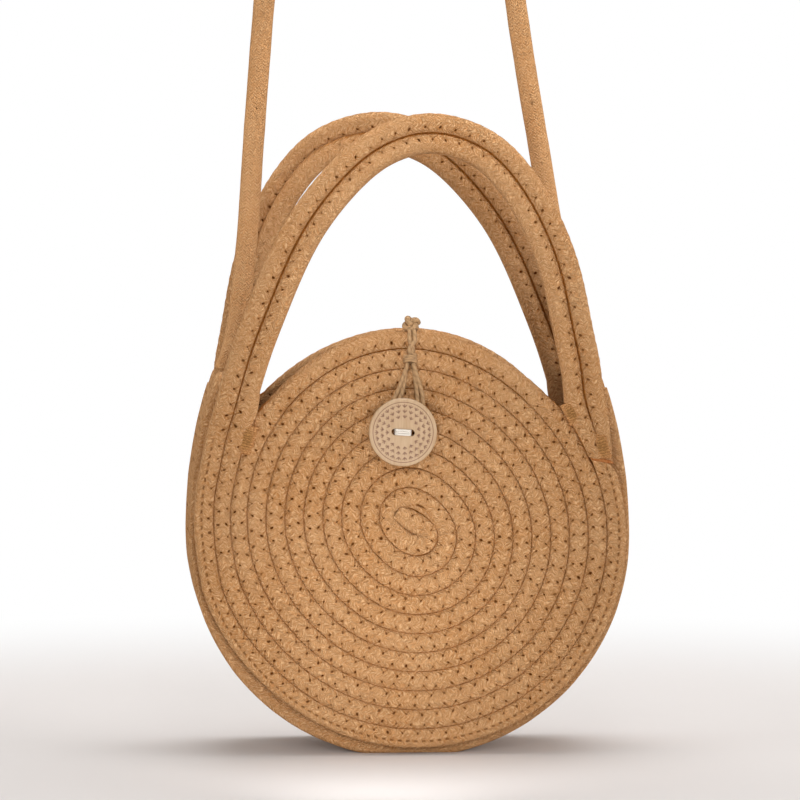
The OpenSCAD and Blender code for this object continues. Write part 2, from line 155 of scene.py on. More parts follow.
# Needle holes' distance from a rope's middle, and the end of the row's needle line
HOLES_OUT = 2.0
NEEDLE_STEP = 3.6
NEEDLE_LINE_TO = 3.4

# Each tack's place on the disc in shares, its turn, width and length
TACKS = [(-0.872, 0.555, 16, 7.4, 13.6), (0.848, 0.71, -26, 6.0, 10.4),
         (1.013, 0.503, -12, 6.8, 12.6)]
TACK_HEIGHT = 1.6
TACK_ROWS = 44
TACK_RIDGE = 1.25
TACK_SEED = 6

# The button, and the rings of its wreath: count, radius, width and height of a sprig, turn
BUTTON_AT = (-3.9, -36.42, 147.6)
SPRIGS = [(27, 11.9, 0.95, 0.85, 0.0), (21, 9.5, 0.9, 0.85, 0.5), (15, 7.1, 0.85, 0.8, 0.0)]

# The loop's knot, the places of its binding and of the front rim, and the noose's low end
KNOT_AT = (1.8, -11.72, 195.4)
WRAP_AT = (0.6, 179.95)
RIM_UP = 187.45
NOOSE_LOW = 139.6

# Each lamp's name, place, size, power, the height that it aims at and its spread in degrees
LAMPS = [("Key", (-0.8, -1.4, 0.5), 1.1, 1.2, 0.14, 180),
         ("Low", (0.0, -1.2, 0.08), 0.8, 0.6, 0.14, 180),
         ("Near", (-0.03, -0.22, 0.055), 0.08, 0.113, 0.08, 116),
         ("High", (0.0, -0.25, 0.42), 0.2, 0.105, 0.265, 48),
         ("Right", (1.5, -0.3, 0.3), 1.0, 15.0, 0.14, 180),
         ("Left", (-1.5, -0.3, 0.3), 1.0, 8.0, 0.14, 180),
         ("Top", (0.1, 0.35, 1.5), 1.2, 18.0, 0.14, 180)]


def colour_setting(name, description, colour):
    return FloatVectorProperty(name=name, description=description, subtype="COLOR",
                               size=4, min=0, max=1, default=colour + (1,))


def length_setting(name, description, low, high, default):
    return FloatProperty(name=name, description=description, unit="LENGTH",
                         min=low, max=high, default=default)


class RopeBagRope(bpy.types.PropertyGroup):
    """Sizes and colours of the cotton rope."""

    cotton: colour_setting("Cotton", "Colour of the rope", (0.575, 0.295, 0.122))
    # pale and shade also paint the knit's highlight on raised fibres and its shade between the
    # strands, besides the cotton's random paler and darker patches; seam is painted shade in the
    # grooves between rows, and hole is painted shade inside the needle holes
    pale: colour_setting("Pale fibres and painted highlight", "Colour of the raised fibres", (0.70, 0.445, 0.24))
    shade: colour_setting("Deep fibres and painted shade", "Colour between the strands", (0.37, 0.162, 0.053))
    seam: colour_setting("Seam shade", "Colour deep between two rows", (0.38, 0.13, 0.016))
    hole: colour_setting("Needle holes", "Colour inside the needle holes", (0.10, 0.024, 0.002))
    tack: colour_setting("Tack thread", "Colour of the dense tacks", (0.47, 0.228, 0.078))
    seal: colour_setting("Rope end", "Colour of the sealed rope end", (0.30, 0.085, 0.022))
    ring_step: length_setting(
        "Ring step", "Distance between a rope's rings", 0.0006, 0.004, 0.00095)
    sides: IntProperty(
        name="Sides", description="Sides of a rope's section", min=12, max=32, default=28)
    stitch: length_setting("Stitch", "Length of one zigzag stitch", 0.004, 0.012, 0.0066)
    pucker: length_setting(
        "Pucker", "Depth to which a stitch pulls the rope in", 0, 0.0015, 0.00045)


class RopeBagButton(bpy.types.PropertyGroup):
    """Sizes and colours of the button and the closing loop."""

    diameter: length_setting("Diameter", "Diameter of the button", 0.02, 0.04, 0.031)
    thickness: length_setting("Thickness", "Thickness of the button", 0.002, 0.005, 0.0032)
    hole_gap: length_setting(
        "Hole gap", "Distance between the two sewing holes", 0.004, 0.01, 0.0075)
    hole: length_setting("Hole", "Diameter of each sewing hole", 0.002, 0.004, 0.0031)
    wood: colour_setting("Wood", "Colour of the wood", (0.44, 0.30, 0.175))
    burnt: colour_setting("Burnt lines", "Colour of the burnt ornament", (0.17, 0.075, 0.04))
    thread: colour_setting("Thread", "Colour of the sewing thread", (0.80, 0.74, 0.66))
    cord: colour_setting("Waxed cord", "Colour of the loop's cord", (0.40, 0.24, 0.115))
    cord_d: length_setting("Cord", "Diameter of the loop's cord", 0.001, 0.003, 0.002)


class RopeBagStage(bpy.types.PropertyGroup):
    """The view and the light."""

    distance: length_setting("Distance", "Camera's distance from the front disc", 0.5, 5, 2.5)
    eye: length_setting("Eye height", "Height of the camera", 0, 1, 0.320)
    aim: FloatVectorProperty(
        name="Aim", description="Place on the front disc at the picture's middle", size=3,
        subtype="XYZ", default=(-0.0053, -0.03903, 0.1623))
    yaw: FloatProperty(
        name="Turn", description="How far the camera stands round to the bag's left",
        subtype="ANGLE", min=-1, max=1, default=math.radians(4.0))
    field: length_setting("Field", "Width seen at the front disc", 0.1, 1, 0.3631)
    floor: colour_setting("Floor", "Colour of the floor", (0.64, 0.615, 0.605))


def rope_settings():
    return bpy.context.scene.rope_bag_rope


def button_settings():
    return bpy.context.scene.rope_bag_button


def stage_settings():
    return bpy.context.scene.rope_bag_stage


# Shader nodes

def put(tree, socket, value):
    """Links a signal to a socket, or sets the socket's own value."""
    if isinstance(value, Signal):
        tree.links.new(value.socket, socket)
    else:
        socket.default_value = value


def node(tree, kind, settings=None, **inputs):
    """Adds a node; inputs are named by their sockets, with _ for a space."""
    made = tree.nodes.new(kind)
    for key, value in (settings or {}).items():
        setattr(made, key, value)
    for key, value in inputs.items():
        put(tree, made.inputs[key.replace("_", " ")], value)
    return made


def signal(tree, kind, settings=None, output=0, **inputs):
    """Adds a node and gives one of its outputs."""
    return Signal(tree, node(tree, kind, settings, **inputs).outputs[output])


class Signal:
    """An output in a shader tree. Arithmetic on it adds math nodes to the tree."""

    def __init__(self, tree, socket):
        self.tree = tree
        self.socket = socket

    def maths(self, operation, *others):
        made = self.tree.nodes.new("ShaderNodeMath")
        made.operation = operation
        for socket, value in zip(made.inputs, (self,) + others):
            put(self.tree, socket, value)
        return Signal(self.tree, made.outputs[0])

    def __add__(self, other):
        return self.maths("ADD", other)

    def __sub__(self, other):
        return self.maths("SUBTRACT", other)

    def __mul__(self, other):
        return self.maths("MULTIPLY", other)

    def __truediv__(self, other):
        return self.maths("DIVIDE", other)

    def __abs__(self):
        return self.maths("ABSOLUTE")

    def most(self, other):
        return self.maths("MAXIMUM", other)

    def root(self):
        return self.maths("SQRT")

    def crests(self):
        """One smooth crest, from 0 to 1 and back, for each whole number."""
        return (self * math.tau).maths("COSINE") * 0.5 + 0.5

    def rise(self, low, high, to_low=0.0, to_high=1.0):
        """Goes smoothly from to_low to to_high while this goes from low to high."""
        return signal(self.tree, "ShaderNodeMapRange", {"interpolation_type": "SMOOTHSTEP"},
                      Value=self, From_Min=low, From_Max=high, To_Min=to_low, To_Max=to_high)

    def fall(self, low, high):
        return self.rise(low, high, 1.0, 0.0)

    def noise(self, scale, detail=2.0, roughness=0.5):
        return signal(self.tree, "ShaderNodeTexNoise", Vector=self, Scale=scale, Detail=detail,
                      Roughness=roughness)

    def parts(self):
        made = node(self.tree, "ShaderNodeSeparateXYZ", Vector=self)
        return [Signal(self.tree, socket) for socket in made.outputs]

    def mix(self, first, second, kind="RGBA"):
        """Goes from first to second while this goes from 0 to 1."""
        made = node(self.tree, "ShaderNodeMix", {"data_type": kind})
        first_socket, result = {"FLOAT": (2, 0), "RGBA": (6, 2)}[kind]
        for k, value in ((0, self), (first_socket, first), (first_socket + 1, second)):
            put(self.tree, made.inputs[k], value)
        return Signal(self.tree, made.outputs[result])


def joined(x, y, z=0.0):
    return signal(x.tree, "ShaderNodeCombineXYZ", X=x, Y=y, Z=z)


def uv_parts(tree, name):
    return signal(tree, "ShaderNodeUVMap", {"uv_map": name}).parts()


def object_place(tree):
    return signal(tree, "ShaderNodeTexCoord", None, "Object")


def seen_by(tree, *kinds):
    """1 for light paths of these kinds, and 0 for the others."""
    path = node(tree, "ShaderNodeLightPath").outputs
    share, *others = (Signal(tree, path[f"Is {kind} Ray"]) for kind in kinds)
    for other in others:
        share = share.most(other)
    return share


def mix_shaders(tree, share, first, second, end):
    """Leads a mix of two shaders to the end node."""
    mix = node(tree, "ShaderNodeMixShader")
    tree.links.new(share.socket, mix.inputs[0])
    tree.links.new(first.outputs[0], mix.inputs[1])
    tree.links.new(second.outputs[0], mix.inputs[2])
    tree.links.new(mix.outputs[0], end.inputs[0])


def once(kind):
    """Makes a function that builds a named data block give the one that is there, if any."""
    def wrap(build):
        def find(name, *values, **more):
            return getattr(bpy.data, kind).get(name) or build(name, *values, **more)
        return find
    return wrap


def effect(name, inputs, outputs):
    """A new node group with float inputs and outputs, and the signals given to it."""
    tree = bpy.data.node_groups.new(name, "ShaderNodeTree")
    for label, default in inputs.items():
        socket = tree.interface.new_socket(label, in_out="INPUT", socket_type="NodeSocketFloat")
        socket.default_value = default
    for label in outputs:
        tree.interface.new_socket(label, in_out="OUTPUT", socket_type="NodeSocketFloat")
    given = node(tree, "NodeGroupInput").outputs
    return tree, [Signal(tree, given[label]) for label in inputs]


def placed(tree, group, **inputs):
    """Adds a node group to a tree and gives its outputs by their names."""
    made = node(tree, "ShaderNodeGroup", {"node_tree": group}, **inputs)
    return {socket.name: Signal(tree, socket) for socket in made.outputs}


@once("node_groups")
def knit_group(name):
    """Wisps of cotton that lean both ways in columns along a rope, from its millimetres."""
    tree, (rope_along, rope_around, pitch, column, order, loose) = effect(
        name, {"Along": 0, "Around": 0, "Pitch": 2.3, "Column": 2.4, "Order": 0.4, "Loose": 2.0},
        ["Height"])
    drift = joined(rope_along, rope_around).noise(0.4) - 0.5
    drift_side = joined(rope_around, rope_along, 7.0).noise(0.35, 1.0) - 0.5
    along = drift * loose + rope_along
    around = drift_side * loose + rope_around
    side = (around / column * math.pi).maths("SINE").rise(-0.55, 0.55)
    heights = []
    for k, slant in enumerate((0.8, -0.8)):
        across = around * slant + along
        down = along * (-slant * 0.5) + around
        wisp = joined(across * 1.7, down * 0.42, 5.0 * k).noise(1.0, 1.8, 0.6).rise(0.36, 0.64)
        heights.append((across / pitch).crests() * order + wisp)
    node(tree, "NodeGroupOutput", Height=side.mix(*heights, "FLOAT") / (order + 1.0))
    return tree


@once("node_groups")
def stitch_group(name):
    """Needle holes beside a seam and the threads that run from them into the seam, as masks for
    painted shade in the holes and in the creases along the threads and round each hole.
    """
    tree, (phase, toward_seam, weight, length) = effect(
        name, {"Phase": 0, "Toward Seam": 0, "Weight": 1, "Length": 7}, ["Hole", "Thread"])
    count = (phase + 0.5).maths("FLOOR")
    chance = signal(tree, "ShaderNodeTexWhiteNoise", {"noise_dimensions": "1D"}, "Color", W=count)
    first, second, third = chance.parts()
    along = (phase - count) * length + (first * 1.3 - 0.65)
    toward = toward_seam + (second * 0.9 - 0.45)
    square = toward * toward * toward.rise(-0.1, 0.4, 1.0, 0.4)
    skewed = toward * (first - 0.5) + along
    far = (skewed * skewed + square).root() * (third * 0.6 + 0.75)
    # hole, dent and line mark where painted shade goes: in the needle hole, round it, and along
    # the crease of its thread
    hole = far.fall(0.24, 0.64) * (second * 0.35 + 0.65)
    dent = far.fall(0.3, 1.7)
    line = abs(toward * -0.76 + abs(along)).fall(0.1, 0.55)
    gate = toward.rise(0.0, 0.4) * toward.rise(0.8, 2.6, 1.0, 0.4)
    thread = (line * gate).most(dent * 0.5)
    node(tree, "NodeGroupOutput", Hole=hole * weight, Thread=thread * weight)
    return tree


def new_material(name):
    made = bpy.data.materials.new(name)
    made.use_nodes = True
    return made, made.node_tree


def finish(tree, colour, height, roughness, specular, bump, bump_depth):
    """Sets the values of a material's shader, with bump from the height."""
    shader = tree.nodes["Principled BSDF"]
    put(tree, shader.inputs["Base Color"], colour)
    shader.inputs["Roughness"].default_value = roughness
    shader.inputs["Specular IOR Level"].default_value = specular
    put(tree, shader.inputs["Normal"], signal(
        tree, "ShaderNodeBump", Strength=bump, Distance=bump_depth, Height=height))
    return shader


def dimmed(colour, shares):
    return tuple(np.multiply(colour[:3], shares)) + (1.0,)


@once("materials")
def rope_material(name, sewn, strength, **knit):
    """Knitted cotton rope; a sewn one also has its seams' needle holes."""
    colours = rope_settings()
    made, tree = new_material(name)
    along, around, _ = uv_parts(tree, "rope")
    knitted = placed(tree, knit_group("Knitted strands"), Along=along, Around=around, **knit)
    height = knitted["Height"]
    place = object_place(tree)
    # The knit's colour follows its height: painted shade between the strands and a painted
    # highlight on the raised fibres
    colour = height.rise(-0.1, 0.45).mix(colours.shade, colours.cotton)
    colour = height.rise(0.5, 0.95, 0.0, 0.65).mix(colour, colours.pale)
    colour = place.noise(38.0).rise(0.3, 0.7, 0.0, 0.2).mix(colour, colours.pale)
    colour = place.noise(230.0, 3.0, 0.6).rise(0.3, 0.6, 0.18, 0.0).mix(colour, colours.shade)
    height = height * strength
    if sewn:
        colour, height = with_seams(tree, along, around, colour, height)
    shader = finish(tree, colour, height, 0.92, 0.04, 0.95, 0.0007)
    shader.inputs["Sheen Weight"].default_value = 0.04
    shader.inputs["Sheen Roughness"].default_value = 0.5
    shader.inputs["Sheen Tint"].default_value = colours.cotton
    return made


def with_seams(tree, along, around, colour, height):
    """Adds painted shade in the grooves of the seams, in the needle holes and in the creases along
    the threads, and a tail's needle line of painted shade in its holes and groove; holes and
    threads also dent the bump.
    """
    colours = rope_settings()
    lateral = abs(around - ROPE_HALF) - ROPE_HALF / 2
    uneven = joined(along * 0.5, 0.0).noise(1.0)
    phases, weights, line_at = (uv_parts(tree, name) for name in ("stitch", "sewn", "line"))
    beside = lateral.maths("GREATER_THAN", 0.0).mix(weights[1], weights[0], "FLOAT")
    # Painted shade in the groove where two sewn rows meet, darker towards a rope's edges
    edge = abs(lateral).rise(4.2, 4.95) * uneven.rise(0.25, 0.65, 0.6, 1.0) * beside
    outer, inner = (
        placed(tree, stitch_group("Zigzag stitches"), Phase=phases[k], Weight=weights[k],
               Length=colours.stitch / MM, Toward_Seam=lateral * sign - HOLES_OUT)
        for k, sign in enumerate((1.0, -1.0)))
    off_line = abs(lateral - (uneven + 0.6))
    # The needle line's dashes are painted shade in its holes, and its groove is painted shade
    # along the line
    dash = line_at[0].maths("PINGPONG", 0.5).fall(0.14, 0.32)
    dash = dash * off_line.fall(0.2, 0.6) * line_at[1]
    groove = off_line.fall(0.1, 1.3) * line_at[1]
    hole = outer["Hole"].most(inner["Hole"]).most(dash * 0.62)
    thread = outer["Thread"].most(inner["Thread"]).most(groove * 0.5)
    # Painted shade: the thread creases and the seams' grooves take the seam colour, and the needle
    # holes take the hole colour
    colour = (thread * 0.42).mix(colour, colours.seam)
    colour = (edge * 0.95).mix(colour, colours.seam)
    return hole.mix(colour, colours.hole), thread * -0.9 + (hole * -0.9 + height)


@once("materials")
def twisted_material(name, colour, pitch, groove_shade, bump=0.8):
    """Thread or cord of twisted plies, from its own millimetres."""
    made, tree = new_material(name)
    along, around, _ = uv_parts(tree, "rope")
    turns = (along + around) / pitch
    height = joined(turns * 3.0, around).noise(4.0) * 0.4 + turns.crests()
    # Painted shade in the grooves between the plies: the colour darkens where the height is low
    shown = height.rise(0.1, 0.9).mix(dimmed(colour, groove_shade), colour)
    finish(tree, shown, height, 0.7, 0.3, bump, 0.0002)
    return made


@once("materials")
def tack_material(name):
    """Dense satin stitches that give way to plain rope round their edge."""
    colours = rope_settings()
    made, tree = new_material(name)
    along, around, _ = uv_parts(tree, "rope")
    flat = joined(along, around)
    wobble = flat.noise(0.8)
    ply = ((wobble * 2.4 + along) / TACK_RIDGE).crests()
    # deep is painted shade between the ridges of the satin stitches, and also the thread's random
    # darker patches
    deep = dimmed(colours.tack, 0.6)
    shown = ply.rise(0.0, 0.9).mix(deep, colours.tack)
    shown = wobble.rise(0.45, 0.7, 0.0, 0.4).mix(shown, deep)
    up, side, _ = uv_parts(tree, "share")
    reach = side * side + up * up + (flat.noise(1.1) - 0.5)
    # The plain rope round a tack is darker where its fibres lie low, partly as painted shade
    fibre = joined(along * 1.4, around).noise(1.3)
    plain = fibre.rise(0.35, 0.65).mix(colours.shade, colours.cotton)
    shown = reach.rise(0.15, 0.85).mix(shown, plain)
    finish(tree, shown, fibre * 0.8 + ply, 0.9, 0.05, 0.9, 0.0005)
    return made


@once("materials")
def seal_material(name):
    """Rope end, singed and sealed."""
    colours = rope_settings()
    made, tree = new_material(name)
    grain = object_place(tree).noise(900.0, 3.0)
    shown = grain.rise(0.3, 0.7).mix(colours.seal, colours.shade)
    finish(tree, shown, grain, 0.8, 0.1, 0.6, 0.0004)
    return made


@once("materials")
def wood_material(name):
    """Pale wood with a burnt wreath of small sprigs."""
    colours = button_settings()
    made, tree = new_material(name)
    centred = signal(tree, "ShaderNodeMapping", {"vector_type": "POINT"},
                     Vector=object_place(tree), Location=[-v for v in BUTTON_AT],
                     Scale=[1 / MM] * 3)
    x, y, z = centred.parts()
    grain = joined(x * 0.9, y * 0.3, z * 0.09).noise(1.0, 4.0, 0.6)
    fleck = joined(x * 4.0, y, z * 0.4).noise(1.0)
    tan = dimmed(colours.wood, (0.86, 0.8, 0.72))
    wood = grain.rise(0.35, 0.7).mix(colours.wood, tan)
    wood = fleck.rise(0.6, 0.8, 0.0, 0.25).mix(wood, tan)
    radius = (x * x + z * z).root()
    angle = z.maths("ARCTAN2", x)
    burnt = abs(radius - 13.7).fall(0.1, 0.2)
    for count, ring, wide, tall, offset in SPRIGS:
        share = (angle * (count / math.tau) + (offset + 40.0)).maths("FRACT") - 0.5
        side = abs(share * (math.tau / count)) * radius
        arm = side * (-tall / wide * 1.1) + (radius - (ring - tall / 2))
        mark = abs(arm).fall(0.24, 0.38) * side.fall(wide, wide + 0.1)
        stem = side.fall(0.14, 0.26) * abs(radius - (ring + 0.15)).fall(0.75, 0.85)
        burnt = burnt.most(mark.most(stem))
    burnt = burnt * y.fall(-2.9, -2.8) * grain.rise(0.2, 0.5, 0.75, 1.0)
    height = burnt * -1.0 + grain * 0.25
    finish(tree, burnt.mix(wood, colours.burnt), height, 0.42, 0.5, 0.5, 0.0002)
    return made


# Lines that the ropes follow, in millimetres

def lean(x, z):
    """How far a disc leans in at a place."""
    up = np.maximum(0, z - COIL_UP - LEAN_FROM) / LEAN_SPAN
    wide = np.minimum(1, np.abs(x) / LEAN_WIDE)
    return RIM_LEAN * up ** 2 * np.cos(np.pi / 2 * wide) ** 2


def disc_depth(x, z):
    return -DISC_Y + lean(x, z)


def handle_depth(x, z):
    return -DISC_Y + HANDLE_LEAN * np.maximum(0, z - FOLD_UP) + 0 * x


def coil_at(turned):
    """The coil's middle line at a total angle in degrees; turned falls from the core out."""
    angle = np.radians(turned)
    out = ROW_PITCH * (TURN_SHARE - turned / 360) + COIL_CORE
    share = np.cos(angle - COIL_TILT)
    slant = COIL_OVAL * share / np.sqrt(share ** 2 + STRAIGHT_SHARE ** 2)
    slant = slant * math.sqrt(1 + STRAIGHT_SHARE ** 2)
    x = COIL_SIDE + out * np.cos(angle) + slant * math.cos(COIL_TILT)
    z = COIL_UP + TALL_SHARE * (out * np.sin(angle) + slant * math.sin(COIL_TILT))
    return np.stack([x, z], axis=-1)


def coil_line(last):
    """The whole coil: a straight start, folded back on itself, that grows into the turns."""
    fold = np.array(CORE_FOLD)
    slope = math.radians(CORE_SLOPE)
    upward = np.array([math.sin(slope), math.cos(slope)])
    onward = np.array([math.cos(slope), -math.sin(slope)])
    straight = fold + upward * CORE_R - onward * np.linspace(CORE_RUN, 0.5, 12)[:, None]
    bend = math.pi / 2 - slope - np.radians(np.arange(0, 176, 8.0))
    bend = fold + CORE_R * np.stack([np.cos(bend), np.sin(bend)], axis=-1)
    turned = np.arange(CORE_JOIN, last - 0.5, -1.0)
    rest = coil_at(turned)
    tie = through([bend[-3], bend[-1], rest[0], rest[8]], 10)[0][10:21]
    core = np.concatenate([straight, bend[:-1], tie[:-1]])
    compass = np.unwrap(np.arctan2(core[:, 1] - COIL_UP, core[:, 0] - COIL_SIDE))
    compass = np.degrees(compass - compass[-1]) + CORE_JOIN
    return np.concatenate([core, rest]), np.concatenate([compass, turned])


def through(points, steps):
    """A smooth line through points, with that many steps between each two."""
    points = np.asarray(points, float)
    last = len(points) - 1
    t = np.linspace(0, last, last * steps + 1)
    i = np.minimum(t.astype(int), last - 1)
    f = (t - i)[:, None]
    a, b = points[np.maximum(i - 1, 0)], points[i]
    c, d = points[i + 1], points[np.minimum(i + 2, last)]
    return 0.5 * (2 * b + (c - a) * f + (2 * a - 5 * b + 4 * c - d) * f ** 2
                  + (3 * b - a - 3 * c + d) * f ** 3), t


def seam_line():
    """The seam between a handle's two ropes, from the left leg over the arch."""
    places = []
    for shares, low, tall in ((LEFT_LEG_SHARES, COIL_UP, FOLD_RISE),
                              (ARCH_SHARES, FOLD_UP, HANDLE_RISE - FOLD_RISE),
                              (RIGHT_LEG_SHARES, COIL_UP, FOLD_RISE)):
        places += [(wide * RIM_R, low + high * tall) for wide, high in shares]
    return through(places, 40)


def lengths(points):
    steps = np.linalg.norm(np.diff(points, axis=0), axis=1)
    return np.concatenate([[0], np.cumsum(steps)])


def unit(vectors):
    """The vectors, each one long."""
    return vectors / np.linalg.norm(vectors, axis=-1, keepdims=True)


def direction(points):
    return unit(np.gradient(points, axis=0))


def outward(points):
    """Unit vectors to the left of the way along a flat line."""
    way = direction(points)
    return np.stack([-way[:, 1], way[:, 0]], axis=-1)


def in_space(flat, y=0.0):
    """Flat x and z places or directions, with y between them."""
    return np.stack([flat[..., 0], np.broadcast_to(y, flat.shape[:-1]), flat[..., 1]], axis=-1)


def evened(points, values, step):
    """The line and its values again, with equal steps along the line."""
    run = lengths(points)
    count = max(2, int(round(run[-1] / step)) + 1)
    at = np.linspace(0, run[-1], count)
    again = np.stack([np.interp(at, run, points[:, k]) for k in range(points.shape[1])], axis=-1)
    return again, {key: np.interp(at, run, v) for key, v in values.items()}, at


def eased(points, passes):
    """The line with its small corners smoothed away; the ends stay."""
    for _ in range(passes):
        points[1:-1] = points[1:-1] * 0.5 + (points[:-2] + points[2:]) * 0.25
    return points


def ripple(at, size, wave, seed):
    """Smooth and repeatable unevenness along a rope."""
    rng = np.random.default_rng(seed)
    total = np.zeros_like(at)
    for share in (1.0, 0.62, 0.37):
        total += np.sin(math.tau * at / (wave * share) + rng.uniform(0, math.tau)) * share
    return total * size / 1.5


# Rope meshes

def linked(name, data):
    made = bpy.data.objects.new(name, data)
    bpy.context.scene.collection.objects.link(made)
    return made


def mesh_object(name, work):
    """An object of the mesh worked on, which is freed."""
    mesh = bpy.data.meshes.new(name)
    work.to_mesh(mesh)
    work.free()
    return linked(name, mesh)


def section(power, width, thick, sides):
    """Evenly spaced places round a rounded section, from its outer edge over the front."""
    turn = np.linspace(0, math.tau, 361)
    c, s = np.cos(turn), np.sin(turn)
    across = np.sign(c) * np.abs(c) ** (2 / power) * width / 2
    out = np.sign(s) * np.abs(s) ** (2 / power) * thick / 2
    run = lengths(np.stack([across, out], axis=-1))
    even = np.linspace(0, run[-1], sides + 1)[:-1]
    return np.interp(even, run, across), np.interp(even, run, out), run[-1]


ROPE_HALF = section(FLAT_POWER, ROW_PITCH, ROPE_THICK, 24)[2] / 2


def tube_object(name, rings, uvs):
    """A closed tube: a grid rolled round its rings. rings is (count, sides, 3) in metres."""
    count, sides = rings.shape[:2]
    grid = bmesh.new()
    bmesh.ops.create_grid(grid, x_segments=count - 1, y_segments=sides, size=1)
    mesh = bpy.data.meshes.new(name)
    grid.to_mesh(mesh)
    grid.free()
    flat = np.empty(len(mesh.vertices) * 3)
    mesh.vertices.foreach_get("co", flat)
    flat = flat.reshape(-1, 3)
    i = np.rint((flat[:, 0] + 1) / 2 * (count - 1)).astype(int)
    j = np.rint((flat[:, 1] + 1) / 2 * sides).astype(int)
    mesh.vertices.foreach_set("co", rings[i, j % sides].ravel())
    corner = np.empty(len(mesh.loops), int)
    mesh.loops.foreach_get("vertex_index", corner)
    for label, values in uvs.items():
        layer = mesh.uv_layers.new(name=label)
        layer.data.foreach_set("uv", values[i[corner], j[corner]].astype(np.float32).ravel())
    work = bmesh.new()
    work.from_mesh(mesh)
    work.verts.ensure_lookup_table()
    join = [work.verts[k] for k in np.nonzero((j == 0) | (j == sides))[0]]
    bmesh.ops.remove_doubles(work, verts=join, dist=1e-8)
    bmesh.ops.holes_fill(work, edges=[e for e in work.edges if e.is_boundary], sides=0)
    bmesh.ops.recalc_face_normals(work, faces=work.faces)
    for face in work.faces:
        face.smooth = len(face.verts) == 4
    work.to_mesh(mesh)
    work.free()
    return linked(name, mesh)


def uv_grid(u, v, columns=1):
    """Places on a map for each ring and side, from u and v that fit one another."""
    shape = np.broadcast_shapes(u.shape, v.shape, (1, columns))
    return np.stack([np.broadcast_to(u, shape), np.broadcast_to(v, shape)], axis=-1)


def bell(value, width):
    return np.exp(-(value / width) ** 2)


def rope_object(name, centres, lateral, normal, at, width, thick, power, values=None,
                floor=False, room=None, calm=1.0):
    """A rope along centres in millimetres. lateral and normal span each section.

    values may hold the stitch phases outer and inner, their weights sew_outer and
    sew_inner, the needle line's phase and weight line and line_on, and the section's
    reach to its outer and inner side, reach_out and reach_in.
    """
    settings = rope_settings()
    sides = settings.sides
    values = values or {}
    zero = np.zeros(len(at))
    phase_out, phase_in, sew_out, sew_in, line, line_on = (
        values.get(key, zero)
        for key in ("outer", "inner", "sew_outer", "sew_inner", "line", "line_on"))
    shapes = np.array([section(*ring, sides)[:2] for ring in zip(power, width, thick)])
    side, rise = shapes[:, 0], shapes[:, 1]
    if "reach_out" in values:
        share = side / width[:, None] * 2
        side = np.where(share > 0, share * values["reach_out"][:, None],
                        share * values["reach_in"][:, None])
    if room is not None:
        side = np.maximum(side, -room[:, None])
    out = rise / thick[:, None] * 2
    depth = settings.pucker / MM * calm
    pulled = 0
    for phase, weight, sign in ((phase_out, sew_out, 1), (phase_in, sew_in, -1)):
        near = (phase + 0.5) % 1 - 0.5
        pull = bell(near, 0.2)[:, None] * bell(side * sign - PULL_AT, 1.2)
        groove = 0.35 * bell(side * sign - GROOVE_AT, 1.3)
        swell = -0.45 * bell(near, 0.9)[:, None] * (1 - bell(near, 0.3)[:, None])
        swell = swell * bell(side * sign - SWELL_AT, 1.8)
        pulled = pulled + weight[:, None] * (pull + groove + swell)
    rise = rise - np.sign(out) * np.abs(out) ** 1.5 * pulled * depth
    rings = (centres[:, None] + lateral[:, None] * side[..., None]
             + normal[:, None] * rise[..., None])
    if "skew" in values:
        rings = rings + direction(centres)[:, None] * (side * values["skew"][:, None])[..., None]
    if floor:
        rings[..., 2] = np.maximum(rings[..., 2], 0.0)
    return tube_object(name, rings * MM, {
        "rope": uv_grid(at[:, None], np.linspace(0, 2 * ROPE_HALF, sides + 1)),
        "stitch": uv_grid(phase_out[:, None], phase_in[:, None], sides + 1),
        "sewn": uv_grid(sew_out[:, None], sew_in[:, None], sides + 1),
        "line": uv_grid(line[:, None], line_on[:, None], sides + 1),
    })


def surface_frame(points, depth):
    """Centres, lateral and normal vectors of a rope laid on the surface y = depth(x, z)."""
    x, z = points[:, 0], points[:, 1]
    look = 0.5
    slope_x = (depth(x + look, z) - depth(x - look, z)) / (2 * look)
    slope_z = (depth(x, z + look) - depth(x, z - look)) / (2 * look)
    side = outward(points)
    lateral = in_space(side, slope_x * side[:, 0] + slope_z * side[:, 1])
    normal = unit(in_space(np.stack([slope_x, slope_z], axis=-1), -1.0))
    return in_space(points, depth(x, z)), lateral, normal


def curl_room(points):
    """How far a rope may reach inward before it meets its own bend."""
    way = np.gradient(points, axis=0)
    more = np.gradient(way, axis=0)
    bend = np.abs(way[:, 0] * more[:, 1] - way[:, 1] * more[:, 0])
    radius = np.linalg.norm(way, axis=1) ** 3 / np.maximum(bend, 1e-9)
    widest, share, least = 60, 0.94, 3.9
    return np.maximum(smoothed(np.minimum(radius, widest), 4) * share, least)


def smoothed(values, reach):
    """The mean over that many neighbours to each side; the ends repeat."""
    kernel = np.ones(2 * reach + 1) / (2 * reach + 1)
    return np.convolve(np.pad(values, reach, mode="edge"), kernel, "valid")


